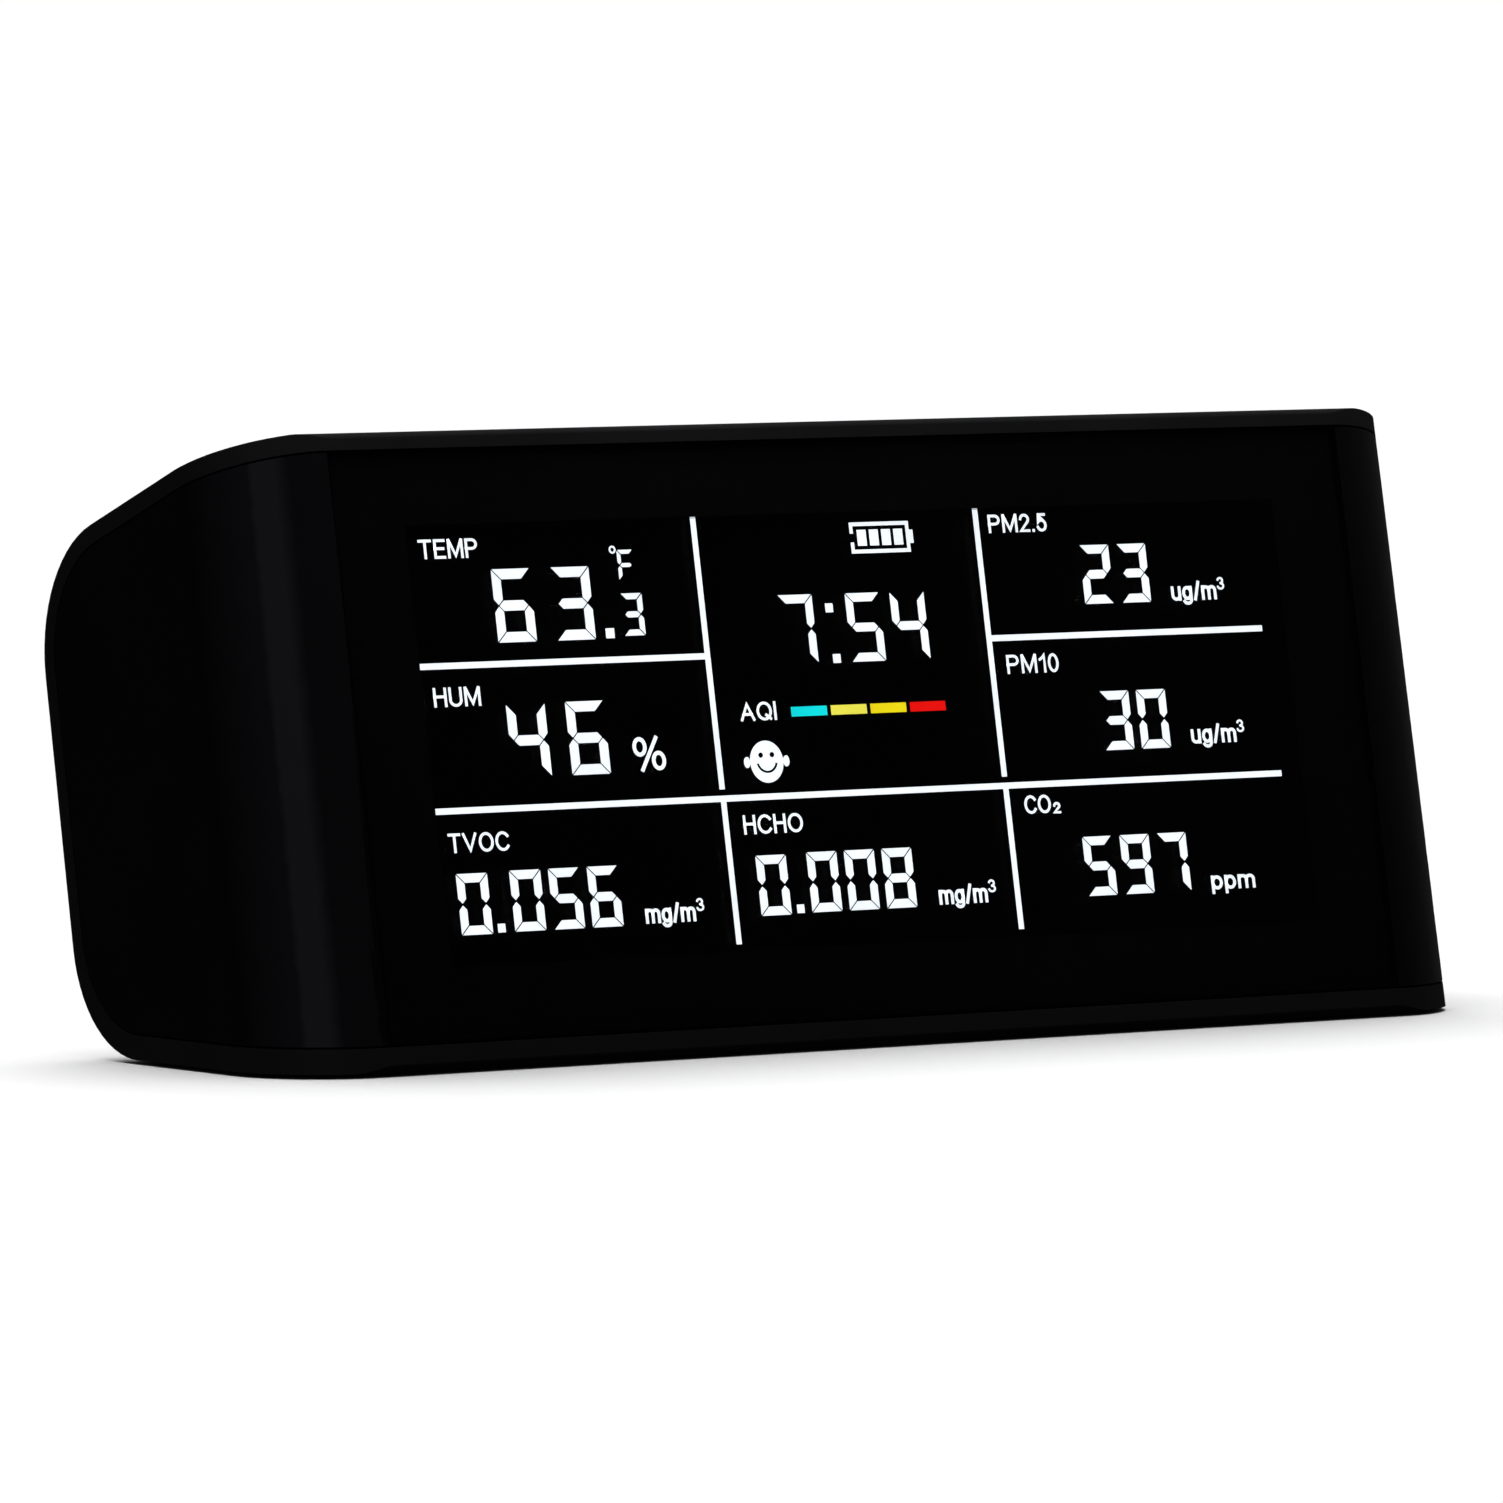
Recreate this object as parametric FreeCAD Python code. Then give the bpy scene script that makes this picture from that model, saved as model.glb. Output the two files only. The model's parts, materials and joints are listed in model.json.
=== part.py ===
import FreeCAD, Part

import math
import os

# Desktop air quality monitor: a shell that leans back, a glossy wrap with a flat lens in front,
# and the display, battery and gas and dust sensors inside.
# Millimetres. +Z is up and the face looks along -Y. The origin is on the table, under the middle.

# Outside of the body
WIDTH = 160.0
HEIGHT = 68.5
DEPTH = 44.0
FACE_LEAN = 10.5
BACK_LEAN = 11.0
TOP_SLOPE = 19.5
SIDE_TAPER = 0.5
FRONT_EDGE_R = 0.7
TOP_BACK_R = 15.0
BOTTOM_BACK_R = 14.0
CORNER_R = 12.5
FOOT_PROUD = 0.5

# Walls
TOP_WALL = 2.05
BACK_WALL = 2.1
BOTTOM_WALL = 2.7
CHEEK_WALL = 2.2
SEAM = 0.22
FIT_GAP = 0.15

# Lens and display, in the face frame: x to the right, y into the body, z up the face
LENS_WIDTH = 134.6
LENS_THICK = 1.6
TAPE_THICK = 0.2
LEDGE_THICK = 1.6
DISPLAY_X = 0.0
DISPLAY_Z = 35.2
WINDOW_WIDTH = 116.0
WINDOW_HEIGHT = 48.3
TAPE_SIDE = 2.0
TAPE_EDGE = 5.0
TAPE_CLEARANCE = 1.0
CELL_WIDTH = 122.0
CELL_HEIGHT = 54.0
CELL_THICK = 2.2
BACKLIGHT_THICK = 2.8
TRAY_WALL = 1.85
TRAY_FLOOR = 1.4
TRAY_TAB_X = 69.5
TRAY_TAB_HEIGHT = 10.0
TRAY_TAB_LIFT = 1.0
TRAY_PAD_R = 3.0

# Main board, in the face frame
BOARD_WIDTH = 126.0
BOARD_HEIGHT = 52.0
BOARD_THICK = 1.6
BOARD_STANDOFF = 2.4
BOARD_HOLE_X = 57.0
BOARD_HOLE_Z = 20.5
STANDOFF_WALL = 1.0

# Fasteners
SMALL_SCREW_R = 1.0
SMALL_SCREW_LENGTH = 5.0
SHORT_SCREW_LENGTH = 4.0
SMALL_HEAD_R = 1.9
SMALL_HEAD_HEIGHT = 1.3
CASE_SCREW_R = 1.25
CASE_SCREW_LENGTH = 11.0
CASE_HEAD_R = 2.4
CASE_HEAD_HEIGHT = 1.1
CASE_SCREW_X = 71.0
CASE_SCREW_Z = (16.0, 37.5)
CASE_POST_R = 3.2
CASE_POST_LENGTH = 39.6
TINY_SCREW_R = 0.8
TINY_SCREW_LENGTH = 4.0
TINY_HEAD_R = 1.4
TINY_HEAD_HEIGHT = 0.8
THREAD_GAP = 0.05
RECESS_DEPTH = 0.6
RECESS_ARM = 1.1
RECESS_WIDTH = 0.35

# Particle sensor, in the face frame
SENSOR_X = (-61.0, -13.0)
SENSOR_Y = (18.5, 38.4)
SENSOR_Z = (15.5, 52.5)
SENSOR_WALL = 1.2
SENSOR_CORNER_R = 1.6
LID_THICK = 1.2
PILLAR_INSET = 2.7
PILLAR_R = 1.8
SENSOR_BOARD_THICK = 1.0
FAN_X = -28.0
FAN_Z = 34.0
FAN_R = 9.2
FAN_HUB_R = 3.6
FAN_Y = (28.5, 35.5)
FAN_PLATE = 0.8
FAN_BLADES = 9
BLADE_THICK = 0.8
BLADE_SWEEP = 28.0
SHAFT_R = 0.75
SHAFT_GAP = 0.05
SHAFT_TOP = 36.2
MOTOR_R = 4.0
MOTOR_Y = 27.7
INTAKE_R = 8.0
INTAKE_BOSS_R = 3.0
INTAKE_BAR = 1.4

CHAMBER_X = (-45.0, -38.2)
CHAMBER_TOP = 30.0
CHAMBER_Z = (18.2, 30.0)
LASER_X = (-57.0, -45.0)
LASER_R = 2.9
LASER_Z = 24.2
DUCT_WIDTH = 3.0
DUCT_HEIGHT = 7.0
DUCT_FLOOR = 2.0
LID_SLOTS = 4
LID_SLOT_START = 6.0
LID_SLOT_PITCH = 3.0
LID_SLOT_WIDTH = 1.5
LID_SLOT_HEIGHT = 9.0
LID_SLOT_LIFT = 12.0
BLADE_ROOT = 0.3
BLADE_TIP = 0.4

# Flat cable to the display, in the face frame
RIBBON_X = (-46.0, -26.0)
RIBBON_THICK = 0.3
RIBBON_R = 1.0
RIBBON_END_Z = 57.0
RIBBON_SIDE = 1.0

# Pieces on the back of the main board, in the face frame. A chip is its x limits, z limits and height
CHIPS = (
    ((-57.0, -47.0), (24.0, 34.0), 1.2),
    ((-57.0, -51.0), (38.0, 44.0), 1.0),
    ((-10.0, -5.0), (12.0, 16.0), 1.4),
)
BATTERY_X = (8.0, 58.0)
BATTERY_Y = (15.4, 24.4)
BATTERY_Z = (9.5, 33.5)
BATTERY_EDGE_R = 1.5
PAD_INSET = 6.0
SOCKET_X = (1.0, 7.0)
SOCKET_TOP = 20.5
SOCKET_OVERHANG = 1.0
SOCKET_Z = (33.9, 38.5)
LEAD_R = 0.65
LEAD_BEND_R = 2.6
LEAD_TURN_X = 4.0
LEAD_START_Z = 27.0
LEAD_Y = (17.2, 18.9)
LINK_X = (22.0, 32.0)
LINK_Z = 37.0
LINK_SOCKET_Z = 29.0
LINK_HEIGHT = 2.0
LINK_BODY = 3.0
SENSOR_LINK_X = (-34.0, -24.0)
SENSOR_LINK_Z = 20.0
CO2_X = (4.0, 38.0)
CO2_Y = (15.4, 24.2)
CO2_Z = (40.0, 60.0)
CO2_EDGE_R = 1.2
CO2_PIN_R = 0.35
CO2_PIN_INSET = 2.0
GAS_CELL_X = 50.0
GAS_CELL_Z = 47.0
GAS_CELL_R = 8.0
GAS_CELL_HEIGHT = 7.0
GAS_CAP_R = 5.0
GAS_CAP_HEIGHT = 1.4
VOC_X = -4.0
VOC_Z = 50.0
VOC_R = 4.2
VOC_HEIGHT = 3.6
VOC_RIM = 0.5
CLIMATE_X = (-8.0, 0.0)
CLIMATE_Z = (19.0, 30.0)
CLIMATE_HEIGHT = 4.2
CLIMATE_SLOTS = 4
CLIMATE_SLOT_START = 2.0
CLIMATE_SLOT_PITCH = 2.2
CLIMATE_SLOT_WIDTH = 1.0
CLIMATE_SLOT_DEPTH = 1.0
CLIMATE_SLOT_INSET = 1.5
BUZZER_Z = 38.0
BUZZER_R = 4.5
BUZZER_HEIGHT = 5.0
BUZZER_HOLE_R = 0.9
BUZZER_HOLE_DEPTH = 2.0
PAD_X = (-50.0, -40.0)
PAD_Z = (36.0, 50.0)

# Back of the shell, in the back frame: x to the right, y out of the wall, z up the wall
VENT_X = (-62.0, 4.0)
VENT_ROWS = (13.4, 28.2)
VENT_HEIGHT = 11.0
VENT_WIDTH = 1.8
VENT_PITCH = 4.0
MESH_THICK = 0.35
MESH_EDGE = 1.0
BUTTON_NAMES = ("down_button", "up_button", "mode_button", "power_button")
BUTTON_X = 20.0
BUTTON_PITCH = 9.5
BUTTON_Z = 33.0
BUTTON_R = 3.2
BUTTON_FLANGE_R = 4.2
BUTTON_FLANGE = 0.8
BUTTON_PROUD = 0.8
BUTTON_GAP = 0.3
PORT_X = 34.25
PORT_Z = 19.5
PORT_WIDTH = 8.9
PORT_HEIGHT = 3.2
PORT_SINK = 0.6
PORT_SHEET = 0.3
PORT_OUTER_R = 1.44
PORT_INNER_R = 1.12
TONGUE_WIDTH = 6.23
TONGUE_THICK = 0.7
TONGUE_ROOT = 0.5
TONGUE_SINK = 1.0
IO_BOARD_X = (7.5, 61.0)
IO_BOARD_Z = (13.5, 41.5)
IO_BOARD_Y = -6.5
IO_BOARD_THICK = 1.2
IO_BOSS_INSET = 3.2
IO_BOSS_R = 2.2
SWITCH_SIZE = 4.5
SWITCH_THICK = 2.0
SWITCH_TIP_R = 1.0
SWITCH_TIP = 0.7

# Feet under the bottom wall
FOOT_R = 4.0
FOOT_SINK = 0.7
FOOT_X = 60.0
FOOT_FRONT_Y = 9.0
FOOT_BACK_Y = 28.0

# Long enough to pass right through the body
FAR = 100.0
BELOW = -25.0
# How far a cutting block passes a face it cuts
PAST = 1.0


def sine(degrees):
    return math.sin(math.radians(degrees))


def cosine(degrees):
    return math.cos(math.radians(degrees))


def side_lines():
    """A point, a direction and an inward normal for each side of the profile, as (y, z) pairs."""
    top_front = (HEIGHT * math.tan(math.radians(FACE_LEAN)), HEIGHT)
    return {
        "face": ((0.0, 0.0), (sine(FACE_LEAN), cosine(FACE_LEAN)), (cosine(FACE_LEAN), -sine(FACE_LEAN))),
        "top": (top_front, (cosine(TOP_SLOPE), -sine(TOP_SLOPE)), (-sine(TOP_SLOPE), -cosine(TOP_SLOPE))),
        "back": ((DEPTH, 0.0), (sine(BACK_LEAN), cosine(BACK_LEAN)), (-cosine(BACK_LEAN), sine(BACK_LEAN))),
        "bottom": ((0.0, 0.0), (1.0, 0.0), (0.0, 1.0)),
    }


def meeting_point(first, first_inset, second, second_inset):
    """Where two sides of the profile cross after each has moved inwards."""
    lines = side_lines()
    (ay, az), (dy, dz), (ny, nz) = lines[first]
    (by, bz), (ey, ez), (my, mz) = lines[second]
    ay, az = ay + ny * first_inset, az + nz * first_inset
    by, bz = by + my * second_inset, bz + mz * second_inset
    along = ((by - ay) * ez - (bz - az) * ey) / (dy * ez - dz * ey)
    return ay + dy * along, az + dz * along


# The body overhangs its foot at the back, so the middle of its depth is behind the foot's middle
REAR_REACH = meeting_point("top", TOP_BACK_R, "back", TOP_BACK_R)[0] + TOP_BACK_R
FRONT_Y = -REAR_REACH / 2.0
X_AXIS = FreeCAD.Vector(1, 0, 0)
Y_AXIS = FreeCAD.Vector(0, 1, 0)
BODY_FRAME = FreeCAD.Placement(FreeCAD.Vector(0, FRONT_Y, FOOT_PROUD), FreeCAD.Rotation())
FACE_FRAME = FreeCAD.Placement(
    FreeCAD.Vector(0, FRONT_Y, FOOT_PROUD), FreeCAD.Rotation(X_AXIS, -FACE_LEAN)
)
BACK_FRAME = FreeCAD.Placement(
    FreeCAD.Vector(0, FRONT_Y + DEPTH, FOOT_PROUD), FreeCAD.Rotation(X_AXIS, -BACK_LEAN)
)

# Depths in the face frame, each layer behind the one before
LEDGE_Y = LENS_THICK + TAPE_THICK
CELL_Y = LEDGE_Y + LEDGE_THICK
BACKLIGHT_Y = CELL_Y + CELL_THICK
TRAY_FLOOR_Y = BACKLIGHT_Y + BACKLIGHT_THICK
BOARD_Y = TRAY_FLOOR_Y + TRAY_FLOOR + BOARD_STANDOFF
BOARD_BACK = BOARD_Y + BOARD_THICK
BUTTON_STACK = [(name, BUTTON_X + BUTTON_PITCH * i) for i, name in enumerate(BUTTON_NAMES)]


def placed(shape, frame):
    """The shape moved from a local frame to the body's own frame."""
    moved = shape.copy()
    moved.Placement = frame.multiply(moved.Placement)
    return moved


def box(x, y, z):
    """A block between pairs of limits."""
    corner = FreeCAD.Vector(x[0], y[0], z[0])
    return Part.makeBox(x[1] - x[0], y[1] - y[0], z[1] - z[0], corner)


def rod(radius, x, y, z):
    """A cylinder along the local y axis."""
    start = FreeCAD.Vector(x, y[0], z)
    return Part.makeCylinder(radius, y[1] - y[0], start, FreeCAD.Vector(0, 1, 0))


def edges_along(shape, axis):
    """The straight edges of a block that run along an axis."""
    return [edge for edge in shape.Edges if abs(edge.tangentAt(0).dot(axis)) > 0.5]


def around(middle, size):
    """A pair of limits centred on a value."""
    return middle - size / 2.0, middle + size / 2.0


def rounded_wire(points, radii):
    """A closed outline through the points, with an arc of the given radius at each."""
    edges = []
    starts, ends, middles = [], [], []
    for i, point in enumerate(points):
        back = (points[i - 1] - point).normalize()
        ahead = (points[(i + 1) % len(points)] - point).normalize()
        half = back.getAngle(ahead) / 2.0
        cut = radii[i] / math.tan(half)
        bisector = (back + ahead).normalize()
        starts.append(point + back * cut)
        ends.append(point + ahead * cut)
        middles.append(point + bisector * (radii[i] / math.sin(half) - radii[i]))
    for i in range(len(points)):
        if radii[i] > 0:
            edges.append(Part.Arc(starts[i], middles[i], ends[i]).toShape())
        following = (i + 1) % len(points)
        edges.append(Part.LineSegment(ends[i], starts[following]).toShape())
    return Part.Wire(edges)


def profile_block(top, back, bottom, front=0.0, front_r=FRONT_EDGE_R):
    """The side profile moved inwards by each wall, extruded across the whole width."""
    corners = [
        meeting_point("face", front, "bottom", bottom),
        meeting_point("face", front, "top", top),
        meeting_point("top", top, "back", back),
        meeting_point("back", back, "bottom", bottom),
    ]
    points = [FreeCAD.Vector(-FAR, y, z) for y, z in corners]
    radii = [front_r, front_r, TOP_BACK_R - back, BOTTOM_BACK_R - back]
    face = Part.Face(rounded_wire(points, radii))
    return placed(face.extrude(FreeCAD.Vector(2 * FAR, 0, 0)), BODY_FRAME)


def plan_block(side_inset=0.0, front_inset=0.0):
    """The outline seen along the face, rounded at both front corners and tapering upwards."""
    wires = []
    for z in (BELOW, FAR):
        half = WIDTH / 2.0 - side_inset - z * math.tan(math.radians(SIDE_TAPER))
        points = [
            FreeCAD.Vector(-half, front_inset, z),
            FreeCAD.Vector(half, front_inset, z),
            FreeCAD.Vector(half, FAR, z),
            FreeCAD.Vector(-half, FAR, z),
        ]
        corner = CORNER_R - side_inset
        wires.append(rounded_wire(points, [corner, corner, 0.0, 0.0]))
    return placed(Part.makeLoft(wires, True, True), FACE_FRAME)


def outer_body():
    return profile_block(0.0, 0.0, 0.0).common(plan_block())


def vent_slots():
    slots = []
    count = int((VENT_X[1] - VENT_X[0]) / VENT_PITCH) + 1
    for row in VENT_ROWS:
        for i in range(count):
            x = around(VENT_X[0] + i * VENT_PITCH, VENT_WIDTH)
            slots.append(box(x, (-BACK_WALL - PAST, PAST), (row, row + VENT_HEIGHT)))
    return slots


def io_boss_places():
    return [
        (x, z)
        for x in (IO_BOARD_X[0] + IO_BOSS_INSET, IO_BOARD_X[1] - IO_BOSS_INSET)
        for z in (IO_BOARD_Z[0] + IO_BOSS_INSET, IO_BOARD_Z[1] - IO_BOSS_INSET)
    ]


def foot_places():
    return [
        (x, FRONT_Y + y) for x in (-FOOT_X, FOOT_X) for y in (FOOT_FRONT_Y, FOOT_BACK_Y)
    ]


def case_screw_places():
    return [(x, z) for x in (-CASE_SCREW_X, CASE_SCREW_X) for z in CASE_SCREW_Z]


def housing():
    """The matte shell: top, back and bottom walls in one, open at the front and the sides."""
    hollow = profile_block(TOP_WALL, BACK_WALL, BOTTOM_WALL, front=BELOW)
    shell = outer_body().cut(hollow)
    cuts = vent_slots()
    for _, x in BUTTON_STACK:
        cuts.append(rod(BUTTON_R + BUTTON_GAP, x, (-BACK_WALL - PAST, PAST), BUTTON_Z))
    port_x = around(PORT_X, PORT_WIDTH + 2 * BUTTON_GAP)
    port_z = around(PORT_Z, PORT_HEIGHT + 2 * BUTTON_GAP)
    cuts.append(box(port_x, (-BACK_WALL - PAST, PAST), port_z))
    for x, z in case_screw_places():
        cuts.append(rod(CASE_SCREW_R + FIT_GAP, x, (-BACK_WALL - PAST, PAST), z))
        cuts.append(rod(CASE_HEAD_R + FIT_GAP, x, (-CASE_HEAD_HEIGHT, PAST), z))
    shell = shell.cut([placed(cut, BACK_FRAME) for cut in cuts])
    bosses = []
    for x, z in io_boss_places():
        boss = rod(IO_BOSS_R, x, (IO_BOARD_Y, -BACK_WALL + FIT_GAP), z)
        hole_end = IO_BOARD_Y + SHORT_SCREW_LENGTH - IO_BOARD_THICK + FIT_GAP
        hole = rod(SMALL_SCREW_R + THREAD_GAP, x, (IO_BOARD_Y, hole_end), z)
        bosses.append(placed(boss.cut(hole), BACK_FRAME))
    shell = shell.fuse(bosses)
    recesses = []
    for x, y in foot_places():
        base = FreeCAD.Vector(x, y, 0)
        recesses.append(Part.makeCylinder(FOOT_R + FIT_GAP, FOOT_PROUD + FOOT_SINK, base))
    return shell.cut(recesses).removeSplitter()


def wrap_limits():
    """What lies between the shell's walls, less a fine seam all round."""
    return profile_block(
        TOP_WALL + SEAM, BACK_WALL + SEAM, BOTTOM_WALL + SEAM, front=BELOW
    )


def front_bezel():
    """The glossy wrap: both cheeks, the ledge the lens sits on, and the posts that hold the shell."""
    inner = plan_block(CHEEK_WALL, LEDGE_Y + LEDGE_THICK)
    limits = wrap_limits()
    wrap = plan_block().cut(inner).common(limits)
    posts = []
    for x, z in case_screw_places():
        posts.append(rod(CASE_POST_R, x, (-BACK_WALL - CASE_POST_LENGTH, -BACK_WALL), z))
    posts = [placed(post, BACK_FRAME).common(plan_block()) for post in posts]
    pads = []
    for x in (-TRAY_TAB_X, TRAY_TAB_X):
        pad = rod(TRAY_PAD_R, x, (LENS_THICK, CELL_Y + TRAY_TAB_LIFT), DISPLAY_Z)
        pads.append(placed(pad, FACE_FRAME))
    wrap = wrap.fuse(posts + pads)
    pocket_x = around(0.0, LENS_WIDTH + 2 * FIT_GAP)
    window_x = around(DISPLAY_X, WINDOW_WIDTH)
    window_z = around(DISPLAY_Z, WINDOW_HEIGHT)
    cuts = [
        placed(box(pocket_x, (-FAR, LEDGE_Y), (-FAR, FAR)), FACE_FRAME),
        placed(box(window_x, (-PAST, CELL_Y + PAST), window_z), FACE_FRAME),
    ]
    for x, z in case_screw_places():
        end = -BACK_WALL - CASE_SCREW_LENGTH - FIT_GAP
        cuts.append(placed(rod(CASE_SCREW_R + THREAD_GAP, x, (end, 0), z), BACK_FRAME))
    for x in (-TRAY_TAB_X, TRAY_TAB_X):
        pad_top = CELL_Y + TRAY_TAB_LIFT
        start = pad_top + TRAY_FLOOR - SHORT_SCREW_LENGTH - FIT_GAP
        hole = rod(SMALL_SCREW_R + THREAD_GAP, x, (start, pad_top + PAST), DISPLAY_Z)
        cuts.append(placed(hole, FACE_FRAME))
    return wrap.cut(cuts).removeSplitter()


def lens():
    sheet = box(around(0.0, LENS_WIDTH), (0, LENS_THICK), (0, FAR))
    return placed(sheet, FACE_FRAME).common(wrap_limits())


def lens_tape():
    depth = (LENS_THICK, LEDGE_Y)
    ring_x = around(0.0, LENS_WIDTH - 2 * TAPE_SIDE)
    ring_z = around(DISPLAY_Z, WINDOW_HEIGHT + 2 * TAPE_EDGE)
    opening_x = around(DISPLAY_X, WINDOW_WIDTH + 2 * TAPE_CLEARANCE)
    opening_z = around(DISPLAY_Z, WINDOW_HEIGHT + 2 * TAPE_CLEARANCE)
    ring = box(ring_x, depth, ring_z).cut(box(opening_x, (-FAR, FAR), opening_z))
    return placed(ring, FACE_FRAME)


def lcd_panel():
    cell = box(
        around(DISPLAY_X, CELL_WIDTH), (CELL_Y, BACKLIGHT_Y), around(DISPLAY_Z, CELL_HEIGHT)
    )
    return placed(cell, FACE_FRAME)


def backlight():
    guide = box(
        around(DISPLAY_X, CELL_WIDTH), (BACKLIGHT_Y, TRAY_FLOOR_Y), around(DISPLAY_Z, CELL_HEIGHT)
    )
    return placed(guide, FACE_FRAME)


def tray_tabs():
    """One ear each side of the tray, with the screw hole that fixes it to the wrap."""
    tabs = []
    depth = (CELL_Y + TRAY_TAB_LIFT, CELL_Y + TRAY_TAB_LIFT + TRAY_FLOOR)
    edge = CELL_WIDTH / 2.0 + FIT_GAP
    left = (-TRAY_TAB_X - SMALL_HEAD_R, DISPLAY_X - edge)
    right = (DISPLAY_X + edge, TRAY_TAB_X + SMALL_HEAD_R)
    for middle, span in ((-TRAY_TAB_X, left), (TRAY_TAB_X, right)):
        ear = box(span, depth, around(DISPLAY_Z, TRAY_TAB_HEIGHT))
        tabs.append(ear.cut(rod(SMALL_SCREW_R + FIT_GAP, middle, (-FAR, FAR), DISPLAY_Z)))
    return tabs


def board_hole_places():
    return [
        (DISPLAY_X + x, DISPLAY_Z + z)
        for x in (-BOARD_HOLE_X, BOARD_HOLE_X)
        for z in (-BOARD_HOLE_Z, BOARD_HOLE_Z)
    ]


def display_tray():
    """The frame behind the display: four walls, a floor, and standoffs for the main board."""
    inner_x = around(DISPLAY_X, CELL_WIDTH + 2 * FIT_GAP)
    inner_z = around(DISPLAY_Z, CELL_HEIGHT + 2 * FIT_GAP)
    outer_x = around(DISPLAY_X, CELL_WIDTH + 2 * TRAY_WALL)
    outer_z = around(DISPLAY_Z, CELL_HEIGHT + 2 * TRAY_WALL)
    tray = box(outer_x, (CELL_Y + FIT_GAP, TRAY_FLOOR_Y + TRAY_FLOOR), outer_z)
    tray = tray.fuse(tray_tabs())
    tray = tray.cut(box(inner_x, (-FAR, TRAY_FLOOR_Y), inner_z))
    notch_x = (RIBBON_X[0] - RIBBON_SIDE, RIBBON_X[1] + RIBBON_SIDE)
    tray = tray.cut(box(notch_x, (-FAR, BACKLIGHT_Y), (DISPLAY_Z, FAR)))
    floor_back = TRAY_FLOOR_Y + TRAY_FLOOR
    for x, z in board_hole_places():
        tray = tray.fuse(rod(SMALL_HEAD_R + STANDOFF_WALL, x, (TRAY_FLOOR_Y, BOARD_Y), z))
        start = BOARD_Y - BOARD_STANDOFF - TRAY_FLOOR
        tray = tray.cut(rod(SMALL_SCREW_R + THREAD_GAP, x, (start, BOARD_Y), z))
    rib_z = around(DISPLAY_Z, CELL_HEIGHT / 2.0)
    for x in around(DISPLAY_X, CELL_WIDTH / 2.0):
        tray = tray.fuse(box(around(x, TRAY_FLOOR), (floor_back, BOARD_Y), rib_z))
    return placed(tray.removeSplitter(), FACE_FRAME)


def main_board():
    board = box(
        around(DISPLAY_X, BOARD_WIDTH), (BOARD_Y, BOARD_BACK), around(DISPLAY_Z, BOARD_HEIGHT)
    )
    holes = [rod(SMALL_SCREW_R + FIT_GAP, x, (0, FAR), z) for x, z in board_hole_places()]
    return placed(board.cut(holes), FACE_FRAME)


def board_chips():
    chips = [box(x, (BOARD_BACK, BOARD_BACK + height), z) for x, z, height in CHIPS]
    return placed(Part.makeCompound(chips), FACE_FRAME)


def board_sockets():
    """The plugs' sockets: battery, display ribbon, button board link and particle sensor link."""
    depth = (BOARD_BACK, BOARD_BACK + LINK_HEIGHT)
    ribbon_x = (RIBBON_X[0] - RIBBON_SIDE, RIBBON_X[1] + RIBBON_SIDE)
    ribbon_z = (RIBBON_END_Z - LINK_BODY, RIBBON_END_Z)
    link_x = (LINK_X[0] - SOCKET_OVERHANG, LINK_X[1] + SOCKET_OVERHANG)
    sockets = [
        box(SOCKET_X, (BOARD_BACK, SOCKET_TOP), SOCKET_Z),
        box(ribbon_x, depth, ribbon_z),
        box(link_x, depth, around(LINK_Z, LINK_BODY)),
        box(SENSOR_LINK_X, depth, around(SENSOR_LINK_Z, LINK_BODY)),
    ]
    return placed(Part.makeCompound(sockets), FACE_FRAME)


def display_ribbon():
    """The flat cable from the display's top edge, over the tray and down to the board's socket."""
    cell_top = DISPLAY_Z + CELL_HEIGHT / 2.0
    inside_front = CELL_Y + CELL_THICK / 2.0
    inside_back = BOARD_BACK + LINK_HEIGHT / 2.0
    inside_top = DISPLAY_Z + CELL_HEIGHT / 2.0 + TRAY_WALL + FIT_GAP
    outside_front = inside_front - RIBBON_THICK
    outside_back = inside_back + RIBBON_THICK
    outside_top = inside_top + RIBBON_THICK
    outline = [
        (outside_front, cell_top, 0.0),
        (outside_front, outside_top, RIBBON_R + RIBBON_THICK),
        (outside_back, outside_top, RIBBON_R + RIBBON_THICK),
        (outside_back, RIBBON_END_Z, 0.0),
        (inside_back, RIBBON_END_Z, 0.0),
        (inside_back, inside_top, RIBBON_R),
        (inside_front, inside_top, RIBBON_R),
        (inside_front, cell_top, 0.0),
    ]
    points = [FreeCAD.Vector(RIBBON_X[0], y, z) for y, z, _ in outline]
    face = Part.Face(rounded_wire(points, [r for _, _, r in outline]))
    return placed(face.extrude(FreeCAD.Vector(RIBBON_X[1] - RIBBON_X[0], 0, 0)), FACE_FRAME)


def battery():
    cell = box(BATTERY_X, BATTERY_Y, BATTERY_Z)
    return placed(cell.makeFillet(BATTERY_EDGE_R, edges_along(cell, X_AXIS)), FACE_FRAME)


def battery_pad():
    pad = box(
        (BATTERY_X[0] + PAD_INSET, BATTERY_X[1] - PAD_INSET),
        (BOARD_BACK, BATTERY_Y[0]),
        (BATTERY_Z[0] + PAD_INSET, BATTERY_Z[1] - PAD_INSET),
    )
    return placed(pad, FACE_FRAME)


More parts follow.
